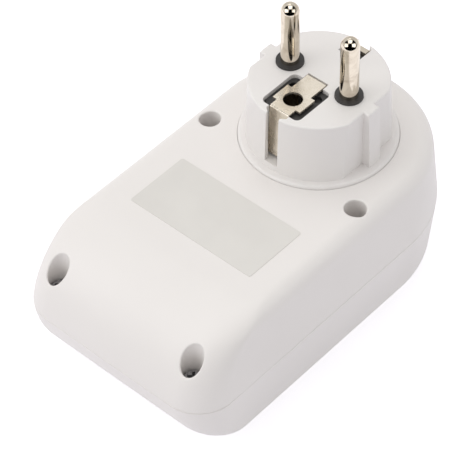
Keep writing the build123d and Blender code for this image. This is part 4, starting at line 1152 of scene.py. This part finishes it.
@dataclass
class Studio:
    """Floor, world, lamps and camera."""

    target: Vector
    floor_reach: float = 6.0
    floor_z: float = -0.1 * MM
    floor_colour: Colour = (0.84, 0.83, 0.88)
    floor_lift: float = 0.45
    contact_gap: float = 0.006
    covered_middle: tuple[float, float] = (0.0, 0.003)
    covered_half: tuple[float, float] = (0.02, 0.038)
    world_level: float = 0.9
    view_from: Vector = field(default_factory=lambda: Vector((0.28041, -0.31229, 0.47107)))
    view_turn: tuple[float, float, float] = (0.750993, 0.015441, 0.727754)
    lens: float = 187.215
    sensor: float = 36.0
    pins_middle: Vector = field(default_factory=lambda: Vector((0.0, 0.024, 0.075)))
    card_distance: float = 0.1
    card_radius: float = 0.42
    card_sides: int = 48
    panel_lift: float = -0.001
    panel_glow: float = 2.0
    panels: tuple[tuple[float, float, float, float, float], ...] = (
        (90.0, 0.04, 0.24, 0.035, 0.1), (178.0, 0.042, 0.26, 0.03, 0.085),
        (2.0, 0.042, 0.2, 0.028, 0.07))
    lamps: tuple[Lamp, ...] = (
        Lamp("lamp_above", (-0.25, 0.1, 0.95), 0.8, 2.1, (1.0, 0.985, 0.965)),
        Lamp("lamp_far_end", (-0.55, -0.75, 0.55), 0.6, 2.0, (1.0, 0.99, 0.98)),
    )

    def build(self) -> None:
        """Builds the whole studio."""
        self._floor()
        self._world()
        for lamp in self.lamps:
            self._lamp(lamp)
        self._camera()
        self._cards()
        bpy.context.scene.view_settings.view_transform = "Standard"

    def _seen(self, layout: NodeLayout) -> bpy.types.NodeSocket:
        """Tells the rays that are seen from the rays that light things.

        Args:
            layout: The node tree to add to.

        Returns:
            1 for camera, mirror and see-through rays, else 0.
        """
        path = layout.add("ShaderNodeLightPath").outputs
        first = layout.sum_of(path["Is Camera Ray"], path["Is Glossy Ray"], "MAXIMUM")
        return layout.sum_of(first, path["Is Transmission Ray"], "MAXIMUM")

    def _floor(self) -> None:
        """A pale floor that keeps the shadow and reads white to the eye."""
        mesh = bpy.data.meshes.new("floor")
        corners = [(x * self.floor_reach, y * self.floor_reach, self.floor_z)
                   for x, y in ((-1, -1), (1, -1), (1, 1), (-1, 1))]
        mesh.from_pydata(corners, [], [(0, 1, 2, 3)])
        floor = linked("floor", mesh)
        material = bpy.data.materials.new("floor_paper")
        layout = bare_layout(material)
        paper = layout.add("ShaderNodeBsdfDiffuse", {"Color": (*self.floor_colour, 1.0)})
        lift = layout.sum_of(self._seen(layout), self.floor_lift, "MULTIPLY")
        glow = layout.add("ShaderNodeEmission", {"Strength": lift})
        both = layout.add("ShaderNodeAddShader", {0: paper.outputs[0], 1: glow.outputs[0]})
        clear = layout.add("ShaderNodeBsdfTransparent")
        one_sided = layout.add("ShaderNodeMixShader", {
            0: self._open_floor(layout), 1: both.outputs[0], 2: clear.outputs[0]})
        layout.add("ShaderNodeOutputMaterial", {"Surface": one_sided.outputs[0]})
        mesh.materials.append(material)

    def _open_floor(self, layout: NodeLayout) -> bpy.types.NodeSocket:
        """Where rays pass through the floor: from below, from close by, and under the timer.

        Args:
            layout: The floor's node tree.

        Returns:
            1 where a ray passes, else 0.
        """
        geometry = layout.add("ShaderNodeNewGeometry").outputs
        length = layout.add("ShaderNodeLightPath").outputs["Ray Length"]
        close = layout.sum_of(length, self.contact_gap, "LESS_THAN")
        apart = layout.add("ShaderNodeSeparateXYZ", {"Vector": geometry["Position"]}).outputs
        under = 1.0
        for axis, middle, half in zip("XY", self.covered_middle, self.covered_half):
            inside = layout.add("ShaderNodeMath", {0: apart[axis], 1: middle, 2: half},
                                operation="COMPARE")
            under = layout.sum_of(inside.outputs[0], under, "MULTIPLY")
        return layout.sum_of(geometry["Backfacing"], layout.sum_of(close, under, "MAXIMUM"), "MAXIMUM")

    def _world(self) -> None:
        """An even sky, white where it is seen."""
        world = bpy.data.worlds.new("sky")
        bpy.context.scene.world = world
        layout = bare_layout(world)
        level = layout.add("ShaderNodeMapRange", {
            "Value": self._seen(layout), "To Min": self.world_level, "To Max": 1.0})
        sky = layout.add("ShaderNodeBackground", {"Strength": level.outputs["Result"]})
        layout.add("ShaderNodeOutputWorld", {"Surface": sky.outputs[0]})

    def _lamp(self, lamp: Lamp) -> None:
        """Adds one lamp.

        Args:
            lamp: Its place, size, power and colour.
        """
        data = bpy.data.lights.new(lamp.name, "AREA")
        data.size, data.energy, data.color = lamp.size, lamp.power, lamp.colour
        made = linked(lamp.name, data)
        made.location = lamp.place
        made.rotation_euler = (self.target - Vector(lamp.place)).to_track_quat("-Z", "Y").to_euler()

    def _camera(self) -> None:
        """Adds the camera above the far end, looking down at the plug."""
        data = bpy.data.cameras.new("camera")
        data.sensor_width, data.lens = self.sensor, self.lens
        data.clip_start, data.clip_end = 0.01, 50.0
        camera = linked("camera", data)
        camera.location = self.view_from
        camera.rotation_euler = Euler(self.view_turn, "XYZ")
        bpy.context.scene.camera = camera

    def _cards(self) -> None:
        """Adds a black card with three white panels before the pins, seen only in what is glossy."""
        toward = (self.view_from - self.pins_middle).normalized()
        facing = toward.to_track_quat("Z", "Y").to_matrix().to_4x4()
        place = Matrix.Translation(self.pins_middle + toward * self.card_distance) @ facing
        turns = [step * math.tau / self.card_sides for step in range(self.card_sides)]
        rim = [(self.card_radius * math.cos(turn), self.card_radius * math.sin(turn), 0.0)
               for turn in turns]
        self._card("black_card", [rim], 0.0, place)
        quads = []
        for angle, near, far, near_half, far_half in self.panels:
            swing = Matrix.Rotation(math.radians(angle), 3, "Z")
            corners = ((near, -near_half), (far, -far_half), (far, far_half), (near, near_half))
            quads.append([tuple(swing @ Vector((*corner, self.panel_lift))) for corner in corners])
        self._card("white_panels", quads, self.panel_glow, place)

    def _card(self, name: str, outlines: Sequence[Sequence[Sequence[float]]], glow: float,
              place: Matrix) -> None:
        """Adds a flat card.

        Args:
            name: Its name.
            outlines: Corners of each of its faces.
            glow: How bright it is.
            place: Where it stands.
        """
        corners: list[Sequence[float]] = []
        faces = []
        for outline in outlines:
            faces.append(tuple(range(len(corners), len(corners) + len(outline))))
            corners.extend(outline)
        mesh = bpy.data.meshes.new(name)
        mesh.from_pydata(corners, [], faces)
        mesh.transform(place)
        material = bpy.data.materials.new(name)
        layout = bare_layout(material)
        shine = layout.add("ShaderNodeEmission", {"Strength": glow})
        layout.add("ShaderNodeOutputMaterial", {"Surface": shine.outputs[0]})
        mesh.materials.append(material)
        card = linked(name, mesh)
        card.visible_camera = card.visible_diffuse = card.visible_transmission = False
        card.visible_shadow = card.visible_volume_scatter = False


def main() -> None:
    """Builds the timer's looks and the studio, in order."""
    logging.basicConfig(level=logging.INFO, format="%(name)s: %(message)s")
    for part in (Housing(), PlugHead(), SocketInsert(), ControlPanel(), PowerSupply()):
        part.build()
    middle = (CAD_BOX[0] + CAD_BOX[1]) / 2
    Studio(target=middle).build()


if __name__ == "__main__":
    main()
